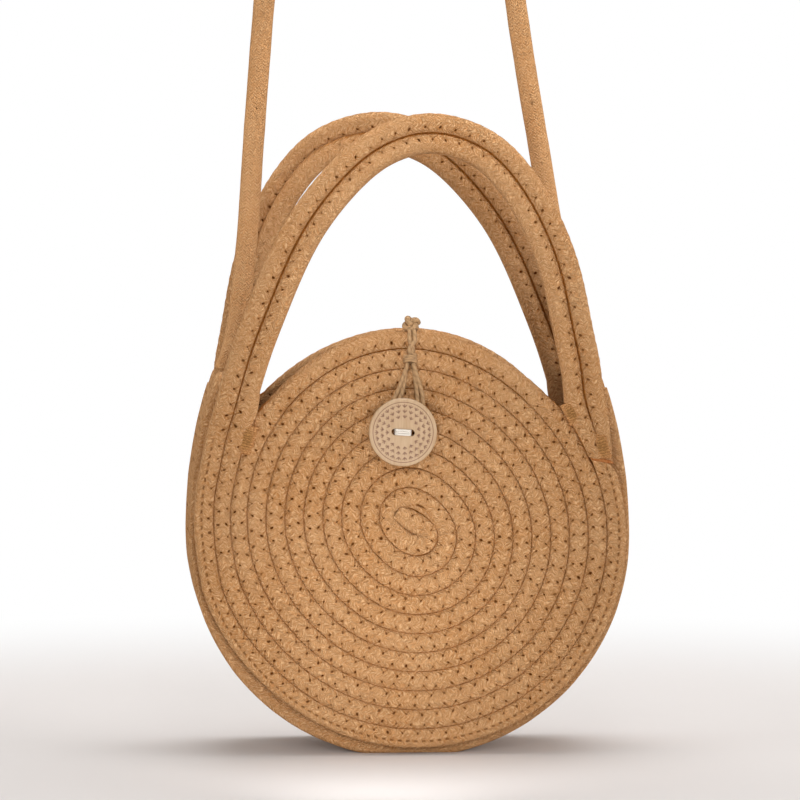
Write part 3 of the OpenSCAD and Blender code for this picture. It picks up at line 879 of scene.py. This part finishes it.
def neighbour_reach(ropes, which):
    """How far a rope of a disc reaches to each side, half way to the rope beside it."""
    chunk, own_turn, too_near, too_far = 300, 12, 2, 13
    points, values, at = ropes[which]
    way, side = direction(points), outward(points)
    near = np.full((2, len(points)), np.inf)
    for k, (others, _, others_at) in enumerate(ropes):
        for first in range(0, len(points), chunk):
            part = slice(first, first + chunk)
            apart = others[None] - points[part, None]
            along = np.abs((apart * way[part, None]).sum(-1))
            across = (apart * side[part, None]).sum(-1)
            beside = (along < 1.0) & (np.abs(across) < too_far)
            if k == which:
                beside &= np.abs(others_at[None] - at[part, None]) > own_turn
            for n, off in enumerate((across, -across)):
                found = np.where(beside & (off > too_near), off, np.inf).min(1)
                near[n, part] = np.minimum(near[n, part], found)
    free = FLAT_WIDTH / 2 * values["size"]
    reach = np.where(np.isfinite(near), np.clip(near / 2 + 0.25, 2.2, 6.6), free)
    return smoothed(reach[0], 5), smoothed(reach[1], 5)


def turn_about(made, turned):
    """Turns a front piece half round the upright axis to make its back twin."""
    if turned:
        made.data.transform(Matrix.Rotation(math.pi, 4, "Z"))


def dress(made, material, nodes, body="bag", handle=None):
    """Gives a piece its material and slot, and its body unless it is a handle's piece, whose place
    is only baked into its mesh.
    """
    made.data.materials.append(material)
    if handle:
        away = 1 if handle == "back_handle" else -1
        away * 0.039
        away * 0.039
        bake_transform(made)
    else:
        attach(made, body)
    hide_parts(*nodes)


def sewn_rope():
    return rope_material("Sewn cotton rope", True, 1.0,
                         Pitch=2.3, Column=2.42, Order=0.22, Loose=2.2)


def strap_rope():
    return rope_material("Cotton strap rope", False, 0.8,
                         Pitch=1.5, Column=1.75, Order=0.9, Loose=0.7)


def end_to_end(*parts):
    """One rope of parts, each a line and its values; a value may be one for the whole part."""
    points = np.concatenate([line for line, _ in parts])
    values = {key: np.concatenate([np.broadcast_to(v[key], len(line)) for line, v in parts])
              for key in parts[0][1]}
    return points, values


def disc_lines():
    """Both ropes of a disc, with the stitch phases of their seams.

    Returns two (points, values) pairs: the coil with its handle, and the outer row
    with its handle.
    """
    stitch = rope_settings().stitch / MM
    last = LEG_ANGLE - ROW_TURN
    coil, turned = coil_line(last)
    seam_run = lengths(coil + outward(coil) * ROW_PITCH / 2)
    falling = np.maximum.accumulate(-turned) + np.arange(len(turned)) * 1e-9

    def seam_phase(angle):
        return np.interp(-angle, falling, seam_run) / stitch

    handle, t = seam_line()
    side = outward(handle)
    tail_at = (RIGHT_FOLD, RIGHT_FOLD + 1.6)
    keep = t <= tail_at[1]
    handle, side, t = handle[keep], side[keep], t[keep]
    share = np.clip(t / LEFT_FOLD, 0, 1)
    half = ROW_PITCH / 2 * (1 - share) + (ROPE_D + 0.25) / 2 * share
    handle_phase = (seam_run[-1] + lengths(handle)) / stitch
    compass = np.degrees(np.arctan2(handle[:, 1] - COIL_UP, handle[:, 0]))
    compass = np.where(compass < -90, compass + 360, compass)
    rim_phase = seam_phase(np.clip(compass - LAST_TURN, last, 90)) + 0.5
    near_rim = 1 - np.clip(
        (handle[:, 1] - np.where(t < LEFT_FOLD, SEWN_LEFT, SEWN_RIGHT)) / SEWN_FADE, 0, 1)
    near_rim = np.where((t < LEFT_FOLD) | (t > RIGHT_FOLD), near_rim, 0)

    ring = np.arange(BUTT_ANGLE - ROW_TURN, LEG_ANGLE - ROW_TURN - 360 - 0.5, -1.0)
    row = coil_at(ring)
    end_way = unit(row[0] - row[1])
    beside = np.array([end_way[1], -end_way[0]])
    close_in = row[0] + end_way * (0.9 + 1.9 * BUTT_SLANT) - beside * 1.9
    close_out = row[0] + end_way * (0.9 - 2.6 * BUTT_SLANT) + beside * 2.6
    lead_in = close_in + end_way * ROW_PITCH + beside * 0.6
    lead_out = close_out + end_way * ROW_PITCH + beside * 1.6
    tail_run = np.array([1.8, 3.1])
    tail = {"on_handle": [0.3, 0.0], "arch": [RIGHT_FOLD + 2.3, RIGHT_FOLD + 3]}

    free = (np.clip((FREE_FROM - LAST_TURN - turned) / 4, 0, 1)
            * np.clip((turned + LAST_TURN - FREE_TO) / 4, 0, 1))
    first = end_to_end(
        (coil, {
            "outer": seam_phase(turned), "inner": seam_phase(np.minimum(turned + 360, 90)) + 0.5,
            "sew_outer": 1 - free, "sew_inner": np.clip((-200 - turned) / 30, 0, 1),
            "on_handle": 0.0, "arch": -1.0,
            "size": 1 - 0.06 * np.clip(1 - np.arange(len(turned)) / 2, 0, 1)}),
        (handle - side * half[:, None], {
            "outer": handle_phase, "inner": rim_phase, "sew_outer": 1.0, "sew_inner": near_rim,
            "on_handle": share, "arch": t, "size": np.interp(t, tail_at, [1, 0.98])}),
        ([lead_in, close_in], {
            "outer": handle_phase[-1] + tail_run, "inner": rim_phase[-1] + tail_run,
            "sew_outer": 1.0, "sew_inner": 1.0, "size": [0.96, 0.9], **tail}))
    second = end_to_end(
        (row, {
            "outer": 0.0, "inner": seam_phase(ring + 360) + 0.5, "sew_outer": 0.0,
            "sew_inner": 1.0, "on_handle": 0.0, "arch": -1.0, "size": 1.0}),
        (handle + side * half[:, None], {
            "outer": 0.0, "inner": handle_phase + 0.5, "sew_outer": 0.0, "sew_inner": 1.0,
            "on_handle": share, "arch": t, "size": np.interp(t, tail_at, [1, 0.93])}),
        ([lead_out, close_out], {
            "outer": 0.0, "inner": handle_phase[-1] + 0.5 + tail_run, "sew_outer": 0.0,
            "sew_inner": 1.0, "size": [0.72, 0.45], **tail}))
    return first, second


def build_disc(side, turned):
    """The ropes of one disc and its handle, each cut at the leg below the fold."""
    step = rope_settings().ring_step / MM
    names = (("coil", "handle_inner", ("panel_coil",), ("handle_inner_rope", "inner_tail")),
             ("rim_rope", "handle_outer", ("outer_row",), ("handle_outer_rope", "outer_tail")))
    ropes = [evened(points, values, step) for points, values in disc_lines()]
    ropes = [(eased(points, 14), values, at) for points, values, at in ropes]
    for k, ((points, values, at), words) in enumerate(zip(ropes, names)):
        seed = 11 * k + (40 if turned else 0)
        arch, size = values["arch"], values["size"]
        values["reach_out"], values["reach_in"] = neighbour_reach(ropes, k)
        values["reach_out"] = values["reach_out"] + ripple(at, *EDGE_RIPPLE, seed + 2)
        change = np.where(arch < 0, 0, np.clip((arch + 1) / 2, 0, 1))[:, None]
        centres, lateral, normal = (
            on_disc * (1 - change) + on_handle * change
            for on_disc, on_handle in zip(surface_frame(points, disc_depth),
                                          surface_frame(points, handle_depth)))
        centres = centres + normal * ripple(at, *MIDDLE_RIPPLE, seed)[:, None]
        if turned:
            twist = np.clip((arch - TWIST_FROM) / (RIGHT_FOLD - 0.4 - TWIST_FROM), 0, 1)
            twist = np.sin(np.pi * twist)[:, None] ** 1.5
            sway, hop = TWISTS[k]
            centres = centres + (lateral * sway + normal * hop) * twist
            if k == 0:
                values["sew_outer"] = values["sew_outer"] * (1 - 0.8 * twist[:, 0])
        width = (FLAT_WIDTH + (ROPE_D - ROW_PITCH - 0.1) * values["on_handle"]) * size
        thick = (ROPE_THICK + ripple(at, *THICK_RIPPLE, seed + 1)) * size ** 0.6
        power = FLAT_POWER - ROUND_DROP * np.clip((arch - LEFT_FOLD + 2) / 3, 0, 1)
        power = power + 1.5 * np.clip((arch - RIGHT_FOLD - 1) / 1.5, 0, 1)
        values["skew"] = BUTT_SLANT * np.clip(1 - (at[-1] - at) / BUTT_REACH, 0, 1)
        if k == 0:
            power = power - 1.5 * (1 - values["sew_outer"]) * (arch < 0)
            room = curl_room(points)
        else:
            room = np.full(len(at), np.inf)
            values["skew"] = values["skew"] + BUTT_SLANT * np.clip(1 - at / BUTT_REACH, 0, 1)
            values["line"] = at / NEEDLE_STEP
            values["line_on"] = np.clip(1 - (arch - NEEDLE_LINE_TO) / 0.8, 0, 1)
        left = (arch >= 0) & (arch < LEFT_FOLD)
        cut = int(np.nonzero(left & (points[:, 1] > LEG_CUT))[0][0])
        for part, piece in enumerate((slice(0, cut + 1), slice(cut, None))):
            made = rope_object(
                f"{side}_{words[part]}", centres[piece], lateral[piece], normal[piece],
                at[piece], width[piece], thick[piece], power[piece],
                {key: v[piece] for key, v in values.items()}, room=room[piece])
            turn_about(made, turned)
            nodes = [f"{side}_{word}" for word in words[2 + part]]
            dress(made, sewn_rope(), nodes, handle=f"{side}_handle" if part else None)


class RopeBagBuild(bpy.types.Operator):
    """Shared by the operators, whose make it runs"""

    bl_options = {"REGISTER", "UNDO"}

    def execute(self, context):
        self.make()
        return {"FINISHED"}


class ROPEBAG_OT_stage(RopeBagBuild):
    """Add the camera, the lamps and the pale floor"""

    bl_idname = "rope_bag.stage"
    bl_label = "Stage"

    def make(self):
        view = stage_settings()
        scene = bpy.context.scene
        scene.view_settings.view_transform = "Standard"
        lens = bpy.data.cameras.new("Camera")
        lens.sensor_fit = "HORIZONTAL"
        target = Vector(view.aim)
        back = Vector((-math.sin(view.yaw), -math.cos(view.yaw), 0)) * view.distance
        place = target + back
        place.z = view.eye
        lens.angle = 2 * math.atan(view.field / 2 / (place - target).length)
        lens.clip_start = 0.02
        lens.clip_end = 50
        camera = linked("Camera", lens)
        camera.location = place
        camera.rotation_euler = (target - place).to_track_quat("-Z", "Y").to_euler()
        scene.camera = camera
        for name, place, size, power, aim_height, spread in LAMPS:
            data = bpy.data.lights.new(name, "AREA")
            data.size = size
            data.energy = power
            data.spread = math.radians(spread)
            lamp = linked(name, data)
            lamp.location = place
            aim = Vector((0, 0, aim_height)) - Vector(place)
            lamp.rotation_euler = aim.to_track_quat("-Z", "Y").to_euler()
        self.sky(scene)
        self.floor(view)

    def sky(self, scene):
        """White as the camera and mirrors see it, and dim and warm as a light"""
        world = bpy.data.worlds.new("Studio")
        scene.world = world
        world.use_nodes = True
        tree = world.node_tree
        tree.nodes.clear()
        seen = seen_by(tree, "Camera", "Glossy", "Transmission")
        dim = node(tree, "ShaderNodeBackground", Color=(1.0, 0.94, 0.88, 1), Strength=0.38)
        white = node(tree, "ShaderNodeBackground", Color=(1, 1, 1, 1), Strength=1.0)
        mix_shaders(tree, seen, dim, white, node(tree, "ShaderNodeOutputWorld"))

    def floor(self, view):
        """A pale floor that fades to white away from the bag"""
        work = bmesh.new()
        bmesh.ops.create_grid(work, x_segments=8, y_segments=8, size=8)
        made = mesh_object("Floor", work)
        material, tree = new_material("Pale floor")
        place = object_place(tree)
        x, y, _ = place.parts()
        shade = place.noise(60.0, 3.0).rise(0.3, 0.7, 0.0, 0.05)
        shader = tree.nodes["Principled BSDF"]
        put(tree, shader.inputs["Base Color"], shade.mix(view.floor, (0.59, 0.565, 0.555, 1)))
        shader.inputs["Roughness"].default_value = 0.75
        glow = node(tree, "ShaderNodeEmission", Color=(1, 1, 1, 1), Strength=1.0)
        fade = (x * x + y * y).root().rise(0.24, 0.62) * seen_by(tree, "Camera", "Glossy")
        mix_shaders(tree, fade, shader, glow, tree.nodes["Material Output"])
        made.data.materials.append(material)


class ROPEBAG_OT_strap(RopeBagBuild):
    """Add the shoulder strap, one rope that rises from both ends of the gusset"""

    bl_idname = "rope_bag.strap"
    bl_label = "Shoulder Strap"

    def make(self):
        step = rope_settings().ring_step / MM * 1.15
        exit_x, exit_z = STRAP_EXIT
        route = [(-exit_x, exit_z)] + STRAP_ROUTE + [(exit_x, exit_z)]
        line, _ = through(route, 16)
        line, _, at = evened(line, {}, step)
        centres = in_space(line)
        lateral = np.tile([0.0, -1.0, 0.0], (len(at), 1))
        ends = np.clip(np.minimum(at, at[-1] - at) / STRAP_EASE, 0, 1)
        width = 9.0 + 0.3 * ends + ripple(at, 0.1, 43, 5)
        thick = 9.0 + 0.7 * ends + ripple(at, 0.1, 31, 6)
        power = 3.4 - 1.4 * ends
        made = rope_object("shoulder_strap_rope", centres, lateral, in_space(outward(line)), at,
                           width, thick, power)
        made.data.materials.append(strap_rope())
        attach(made, "bag")
        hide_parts("shoulder_strap")


class ROPEBAG_OT_front(RopeBagBuild):
    """Add the front disc and its handle"""

    bl_idname = "rope_bag.front"
    bl_label = "Front Disc and Handle"

    def make(self):
        build_disc("front", False)


class ROPEBAG_OT_back(RopeBagBuild):
    """Add the back disc and its handle"""

    bl_idname = "rope_bag.back"
    bl_label = "Back Disc and Handle"

    def make(self):
        build_disc("back", True)


def gusset_line():
    """The gusset's round from its right end down and up to its left end, in x and z."""
    angle = np.linspace(GUSSET_END, -90 + GUSSET_DIP, 160)
    reach = GUSSET_C + GUSSET_FLARE * (np.maximum(0, angle) / GUSSET_END) ** 2
    right = np.stack([reach * np.cos(np.radians(angle)),
                      GUSSET_UP + reach * np.sin(np.radians(angle))], axis=-1)
    left = right[::-1] * (-1, 1)
    line, _, at = evened(np.concatenate([right, left]), {}, rope_settings().ring_step / MM * 1.2)
    return eased(line, 10), at


def gusset_rope(name, rows, nodes, turned, exits=False):
    """Rows of one rope across the gusset, folded back at each end."""
    line, at = gusset_line()
    stitch = at[-1] / round(at[-1] / (rope_settings().stitch / MM))
    away = in_space(-outward(line))
    away = away * np.sign(-away[len(at) // 2, 2])
    ways = in_space(unit(np.array([line[0] - line[1], line[-1] - line[-2]])))
    turn = np.radians(np.arange(15, 180, 15))[:, None]
    parts = []
    for k, row in enumerate(rows):
        onward = k % 2 == 0
        order = np.arange(len(at))[::1 if onward else -1]
        centres = in_space(line[order], -row * ROW_PITCH)
        parts.append((centres, {"up": away[order], "along": at[order], "seam_first": float(onward),
                                "sewn": 1.0, "beside_disc": float(k == 0 and not exits)}))
        if k + 1 < len(rows):
            end = order[-1]
            bend = centres[-1] + ROW_PITCH / 2 * (
                ways[int(onward)] * np.sin(turn) + np.array([0, 1, 0]) * (1 - np.cos(turn)))
            parts.append((bend, {"up": away[end], "along": at[end], "seam_first": 0.0,
                                 "sewn": 0.0, "beside_disc": 0.0}))
    if exits:
        steps = np.linspace(ROW_OVERHANG + STRAP_OVERLAP, 0, 8)[:-1][:, None]
        for end, out in ((0, steps), (-1, steps[::-1])):
            piece = (centres[end] + ways[end] * out,
                     {**parts[0][1], "up": away[end], "along": at[end], "sewn": 0.0})
            parts.insert(len(parts) if end else 0, piece)
    centres = np.concatenate([piece for piece, _ in parts])
    ups = np.concatenate([np.broadcast_to(v["up"], piece.shape) for piece, v in parts])
    along, seam_first, sewn, beside_disc = (
        np.concatenate([np.broadcast_to(v[key], len(piece)) for piece, v in parts])
        for key in ("along", "seam_first", "sewn", "beside_disc"))
    run = lengths(centres)
    lateral = unit(np.cross(direction(centres), ups))
    phase = along / stitch
    back_half = 0.0 if exits else 0.5
    values = {
        "outer": phase + back_half * (1 - seam_first),
        "inner": phase + back_half * seam_first,
        "sew_outer": sewn * (1 - beside_disc),
        "sew_inner": sewn,
    }
    thick = ROPE_THICK + ripple(run, *GUSSET_RIPPLE, rows[0] + 7)
    made = rope_object(name, centres, lateral, ups, run, np.full(len(run), FLAT_WIDTH),
                       thick, np.full(len(run), GUSSET_POWER), values, floor=True, calm=0.35)
    turn_about(made, turned)
    dress(made, sewn_rope(), nodes)


class ROPEBAG_OT_gusset(RopeBagBuild):
    """Add the rows of rope between the two discs"""

    bl_idname = "rope_bag.gusset"
    bl_label = "Gusset"

    def make(self):
        rows = list(range(SIDE_ROWS, 0, -1))
        gusset_rope("gusset_front_rows", rows, ["gusset_front_rope"], False)
        gusset_rope("gusset_back_rows", rows, ["gusset_back_rope"], True)
        gusset_rope("gusset_strap_row", [0], ["gusset_middle_row"], False, exits=True)


def patch_object(name, width, length):
    """A low pad of satin stitches, flat behind, its width and length in millimetres."""
    work = bmesh.new()
    bmesh.ops.create_grid(work, x_segments=16, y_segments=TACK_ROWS, size=0.5)
    layer = work.loops.layers.uv.new("rope")
    shares = work.loops.layers.uv.new("share")
    ragged = np.random.default_rng(TACK_SEED).uniform(-0.35, 0.35, TACK_ROWS + 1)
    for vert in work.verts:
        row = int(round((vert.co.y + 0.5) * TACK_ROWS))
        share = abs(vert.co.x) * 2
        edge = max(0.0, 1 - share ** 3) * max(0.0, 1 - (abs(vert.co.y) * 2) ** 4)
        ridge = 0.12 * math.cos(row * math.pi)
        vert.co = Vector((vert.co.x * (width + 2 * ragged[row] * share),
                          -TACK_HEIGHT * edge ** 0.8 - ridge * edge, vert.co.y * length))
    for face in work.faces:
        face.smooth = True
        for loop in face.loops:
            loop[layer].uv = (loop.vert.co.z, loop.vert.co.x)
            loop[shares].uv = (loop.vert.co.z / length * 2, loop.vert.co.x / width * 2)
    bmesh.ops.recalc_face_normals(work, faces=work.faces)
    rim = [e for e in work.edges if e.is_boundary]
    made = bmesh.ops.extrude_edge_only(work, edges=rim)["geom"]
    low = [g for g in made if isinstance(g, bmesh.types.BMVert)]
    bmesh.ops.translate(work, verts=low, vec=(0, TACK_HEIGHT, 0))
    bmesh.ops.holes_fill(work, edges=[e for e in work.edges if e.is_boundary], sides=0)
    bmesh.ops.recalc_face_normals(work, faces=work.faces)
    return mesh_object(name, work)


class ROPEBAG_OT_ends(RopeBagBuild):
    """Add the sealed rope ends and the dense tacks at the handles' feet"""

    bl_idname = "rope_bag.ends"
    bl_label = "Rope Ends and Tacks"

    def make(self):
        for side, turned in (("front", False), ("back", True)):
            for letter, tack in zip("abc", TACKS):
                self.tack(side, turned, letter, *tack)
            self.seal(side, turned)

    def tack(self, side, turned, letter, share_x, share_z, angle, width, length):
        piece = patch_object(f"{side}_tack_{letter}", width, length)
        y = -DISC_Y - ROPE_THICK / 2 + TACK_HEIGHT - 0.05
        place = Matrix.Translation(
            (share_x * RIM_R * MM, y * MM, (COIL_UP + share_z * FOLD_RISE) * MM))
        tilt = Matrix.Rotation(math.radians(angle), 4, "Y")
        piece.data.transform(place @ tilt @ Matrix.Scale(MM, 4))
        turn_about(piece, turned)
        dress(piece, tack_material("Tack thread"), [f"{side}_tacks"])

    def seal(self, side, turned):
        row = coil_at(np.array([BUTT_ANGLE, BUTT_ANGLE - 1.0]) - ROW_TURN)
        at = np.linspace(-0.4, 1.3, 9)
        points = row[0] + unit(row[0] - row[1]) * at[:, None]
        centres, lateral, normal = surface_frame(points[::-1], disc_depth)
        swell = 1 + 0.05 * np.cos((at - 0.45) / 0.75 * math.pi / 2)
        made = rope_object(f"{side}_rope_end", centres, lateral, normal, at - at[0],
                           ROPE_D * swell, 9.4 * swell, np.full(len(at), GUSSET_POWER),
                           {"skew": np.full(len(at), BUTT_SLANT)})
        turn_about(made, turned)
        dress(made, seal_material("Sealed rope end"), [f"{side}_row_end_seal"])


class ROPEBAG_OT_button(RopeBagBuild):
    """Add the wooden button and its sewing thread"""

    bl_idname = "rope_bag.button"
    bl_label = "Button"

    def make(self):
        sizes = button_settings()
        radius, thick = sizes.diameter / 2, sizes.thickness
        work = bmesh.new()
        edge = 0.00062
        bevel = [(radius - edge, 0), (radius - edge * 0.3, edge * 0.3), (radius, edge)]
        profile = [(0, 0)] + bevel + [(r, thick - y) for r, y in bevel[::-1]] + [(0, thick)]
        verts = [work.verts.new((r, -y, 0)) for r, y in profile]
        edges = [work.edges.new(pair) for pair in zip(verts, verts[1:])]
        bmesh.ops.spin(work, geom=verts + edges, axis=(0, 1, 0), cent=(0, 0, 0),
                       angle=math.tau, steps=96, use_merge=True)
        bmesh.ops.remove_doubles(work, verts=work.verts, dist=1e-6)
        bmesh.ops.recalc_face_normals(work, faces=work.faces)
        blank = mesh_object("button_blank", work)
        drill = bmesh.new()
        for side in (-1, 1):
            turn = Matrix.Rotation(math.pi / 2, 4, "X")
            place = Matrix.Translation((side * sizes.hole_gap / 2, -thick / 2, 0))
            bmesh.ops.create_cone(drill, cap_ends=True, segments=40, radius1=sizes.hole / 2,
                                  radius2=sizes.hole / 2, depth=thick * 3, matrix=place @ turn)
        bmesh.ops.recalc_face_normals(drill, faces=drill.faces)
        cutter = mesh_object("drill", drill)
        cut = blank.modifiers.new("Holes", "BOOLEAN")
        cut.operation = "DIFFERENCE"
        cut.object = cutter
        cut.solver = "EXACT"
        shown = blank.evaluated_get(bpy.context.evaluated_depsgraph_get())
        piece = linked("wooden_button", bpy.data.meshes.new_from_object(shown))
        bpy.data.objects.remove(blank)
        bpy.data.objects.remove(cutter)
        place = Matrix.Translation([v * MM for v in BUTTON_AT])
        place = place @ Matrix.Rotation(math.radians(4), 4, "Y")
        piece.data.transform(place)
        soften = piece.modifiers.new("Edges", "BEVEL")
        soften.width = 0.00015
        soften.segments = 2
        soften.limit_method = "ANGLE"
        for face in piece.data.polygons:
            face.use_smooth = abs(face.normal.y) < 0.9
        dress(piece, wood_material("Burnt pale wood"), ["button"], "button")
        self.thread(sizes, place)

    def thread(self, sizes, place):
        half = sizes.hole_gap / 2 / MM
        top = -sizes.thickness / MM - 0.42
        inner = half - 0.25
        for k, letter in zip((-1, 0, 1), "abc"):
            off = k * 0.92
            rise = [(-inner, 3.5, off * 0.7), (-inner, 0.5, off * 0.8),
                    (-inner + 0.1, top + 0.9, off), (-half + 1.1, top - 0.02, off * 1.02)]
            fall = [(-x, y, z) for x, y, z in rise[::-1]]
            line, _ = through(rise + [(0, top - 0.1 - 0.05 * k, off * 1.06)] + fall, 8)
            made = cord_object(f"button_thread_{letter}", line, 0.95, 10)
            made.data.transform(place)
            dress(made, twisted_material("White sewing thread", sizes.thread, 1.1, 0.72),
                  ["button_thread"], "button")


def cord_object(name, line, diameter, sides):
    """A thin round cord along a line in millimetres, its section carried without twist."""
    line = eased(np.asarray(line, float).copy(), 3)
    line, _, at = evened(line, {}, max(0.35, diameter / 4))
    way = direction(line)
    side = np.cross(way[0], (0.3, 0.9, 0.2))
    lateral = np.empty_like(way)
    for k, onward in enumerate(way):
        side = unit(side - onward * side.dot(onward))
        lateral[k] = side
    normal = np.cross(way, lateral)
    turn = np.linspace(0, math.tau, sides, endpoint=False)[:, None]
    ends = np.sqrt(np.clip(np.minimum(at, at[-1] - at) / (diameter / 2), 0.02, 1))
    around = lateral[:, None] * np.cos(turn) + normal[:, None] * np.sin(turn)
    rings = line[:, None] + around * (diameter / 2 * ends[:, None, None])
    spread = uv_grid(at[:, None], np.linspace(0, math.pi * diameter, sides + 1))
    return tube_object(name, rings * MM, {"rope": spread})


def off_front(x, z, off):
    """A place that stands off the front disc's rope by a distance."""
    slope = (lean(x, z + 1) - lean(x, z - 1)) / 2
    return (x, -DISC_Y - ROPE_THICK / 2 + lean(x, z) - off * math.hypot(1, slope), z)


def waxed(name, line, covers, body="loop", diameter=None, sides=12):
    """Adds a run of the waxed cord that stands for a node of the part."""
    sizes = button_settings()
    made = cord_object(name, line, diameter or sizes.cord_d / MM, sides)
    wax = twisted_material("Waxed cord", sizes.cord, 3.4, 0.74, 0.3)
    dress(made, wax, [covers], body)


class ROPEBAG_OT_loop(RopeBagBuild):
    """Add the waxed cord: its knot, tail, binding and noose"""

    bl_idname = "rope_bag.loop"
    bl_label = "Closing Loop"

    def make(self):
        knot = np.array(KNOT_AT)
        turn = np.linspace(0, math.tau, 90)
        out = 2.35 + 1.2 * np.cos(3 * turn)
        ring = np.stack([out * np.cos(2 * turn), out * np.sin(2 * turn) * 0.85,
                         1.75 * np.sin(3 * turn)], axis=-1)
        tilt = np.array(Matrix.Rotation(math.radians(64), 3, "X")
                        @ Matrix.Rotation(math.radians(25), 3, "Y"))
        waxed("loop_knot_turns", knot + ring @ tilt.T, "loop_knot", "bag",
              button_settings().cord_d / MM * 1.3, 14)
        self.tail(knot)
        wrap = np.array(off_front(*WRAP_AT, 2.2))
        for k, shift in enumerate((-1, 1)):
            route = [knot + (shift * 0.9, -2.6, -1.6),
                     off_front(KNOT_AT[0] + shift * 1.15, RIM_UP + 0.6, 1.35),
                     off_front(1.2 - shift * 0.9, 184.2, 1.5 + 0.6 * k),
                     wrap + (shift * 1.0, 0.3 * shift, -1.0)]
            waxed(f"loop_strand_{'ab'[k]}", through(route, 10)[0], "loop_cord")
        slope = float(lean(WRAP_AT[0], 181) - lean(WRAP_AT[0], 179)) / 2
        down, face = unit(np.array([(0, slope, 1.0), (0, -1.0, slope)]))
        turns = np.linspace(0, 3.2 * math.tau, 120)
        binding = (wrap + np.outer(np.cos(turns) * 2.75, (1, 0, 0))
                   + np.outer(np.sin(turns) * 2.0, face)
                   + np.outer((turns / turns[-1] - 0.5) * 3.5, down))
        waxed("loop_binding", binding, "loop_wrap", "loop", 1.25, 10)
        self.noose(wrap - down * 1.2)

    def tail(self, knot):
        """Two strands from the knot down the inside of the back disc"""
        for k, shift in enumerate((-1, 1)):
            x = knot[0] + shift * 1.15
            inside = [(x, DISC_Y - float(lean(knot[0], z)) - ROPE_THICK / 2 - 1.5, z)
                      for z in (187.4, 180.4, 173.4)]
            route = [knot + (shift * 0.6, 1.8, 0.4), (x, knot[1] / 2 + 3.9, knot[2] - 0.2),
                     (x, inside[0][1] - 1.9, 192.4)] + inside
            waxed(f"loop_tail_{'ab'[k]}", through(route, 10)[0], "loop_tail", "bag")

    def noose(self, top):
        """Two strands side by side, from the binding round the button's thread"""
        button_x, _, button_z = BUTTON_AT
        for n, across in enumerate((0.5, -0.5)):
            out = n * 2.4
            half = 6.8 + out
            low = NOOSE_LOW + 2.4 - out
            turn_z = (button_z + low) / 2 - 1.1
            left, right = (
                [top + (sign * 1.2, across * 1.9, 0),
                 top + (sign * (narrow + n * 0.6), across * 1.2, -4.6),
                 off_front(WRAP_AT[0] + sign * (wide + out), button_z + 15.5, 2.1),
                 off_front(button_x + sign * half, button_z + 6.8, 1.5),
                 off_front(button_x + sign * half, button_z, 1.5),
                 off_front(button_x + sign * half * 0.72, turn_z, 1.5)]
                for sign, narrow, wide in ((-1, 1.9, 4.9), (1, 1.7, 2.8)))
            route = left + [off_front(button_x, low, 1.5)] + right[::-1]
            waxed(f"loop_noose_{'ab'[n]}", through(route, 10)[0], "loop_noose")


class ROPEBAG_PT_panel(bpy.types.Panel):
    """Lists the bag's pieces"""

    bl_idname = "ROPEBAG_PT_panel"
    bl_label = "Round Rope Handbag"
    bl_space_type = "VIEW_3D"
    bl_region_type = "UI"
    bl_category = "Rope Bag"

    def draw(self, context):
        for item in STEPS:
            self.layout.operator(item.bl_idname)


GROUPS = (RopeBagRope, RopeBagButton, RopeBagStage)
STEPS = (ROPEBAG_OT_stage, ROPEBAG_OT_strap, ROPEBAG_OT_front, ROPEBAG_OT_back,
         ROPEBAG_OT_gusset, ROPEBAG_OT_ends, ROPEBAG_OT_button, ROPEBAG_OT_loop)
CLASSES = GROUPS + STEPS + (ROPEBAG_PT_panel,)


def register():
    for item in CLASSES:
        bpy.utils.register_class(item)
    bpy.types.Scene.rope_bag_rope = PointerProperty(type=RopeBagRope)
    bpy.types.Scene.rope_bag_button = PointerProperty(type=RopeBagButton)
    bpy.types.Scene.rope_bag_stage = PointerProperty(type=RopeBagStage)


def unregister():
    del bpy.types.Scene.rope_bag_stage
    del bpy.types.Scene.rope_bag_button
    del bpy.types.Scene.rope_bag_rope
    for item in reversed(CLASSES):
        bpy.utils.unregister_class(item)


def main():
    register()
    bpy.ops.rope_bag.stage()
    bpy.ops.rope_bag.strap()
    bpy.ops.rope_bag.front()
    bpy.ops.rope_bag.back()
    bpy.ops.rope_bag.gusset()
    bpy.ops.rope_bag.ends()
    bpy.ops.rope_bag.button()
    bpy.ops.rope_bag.loop()


if __name__ == "__main__":
    main()
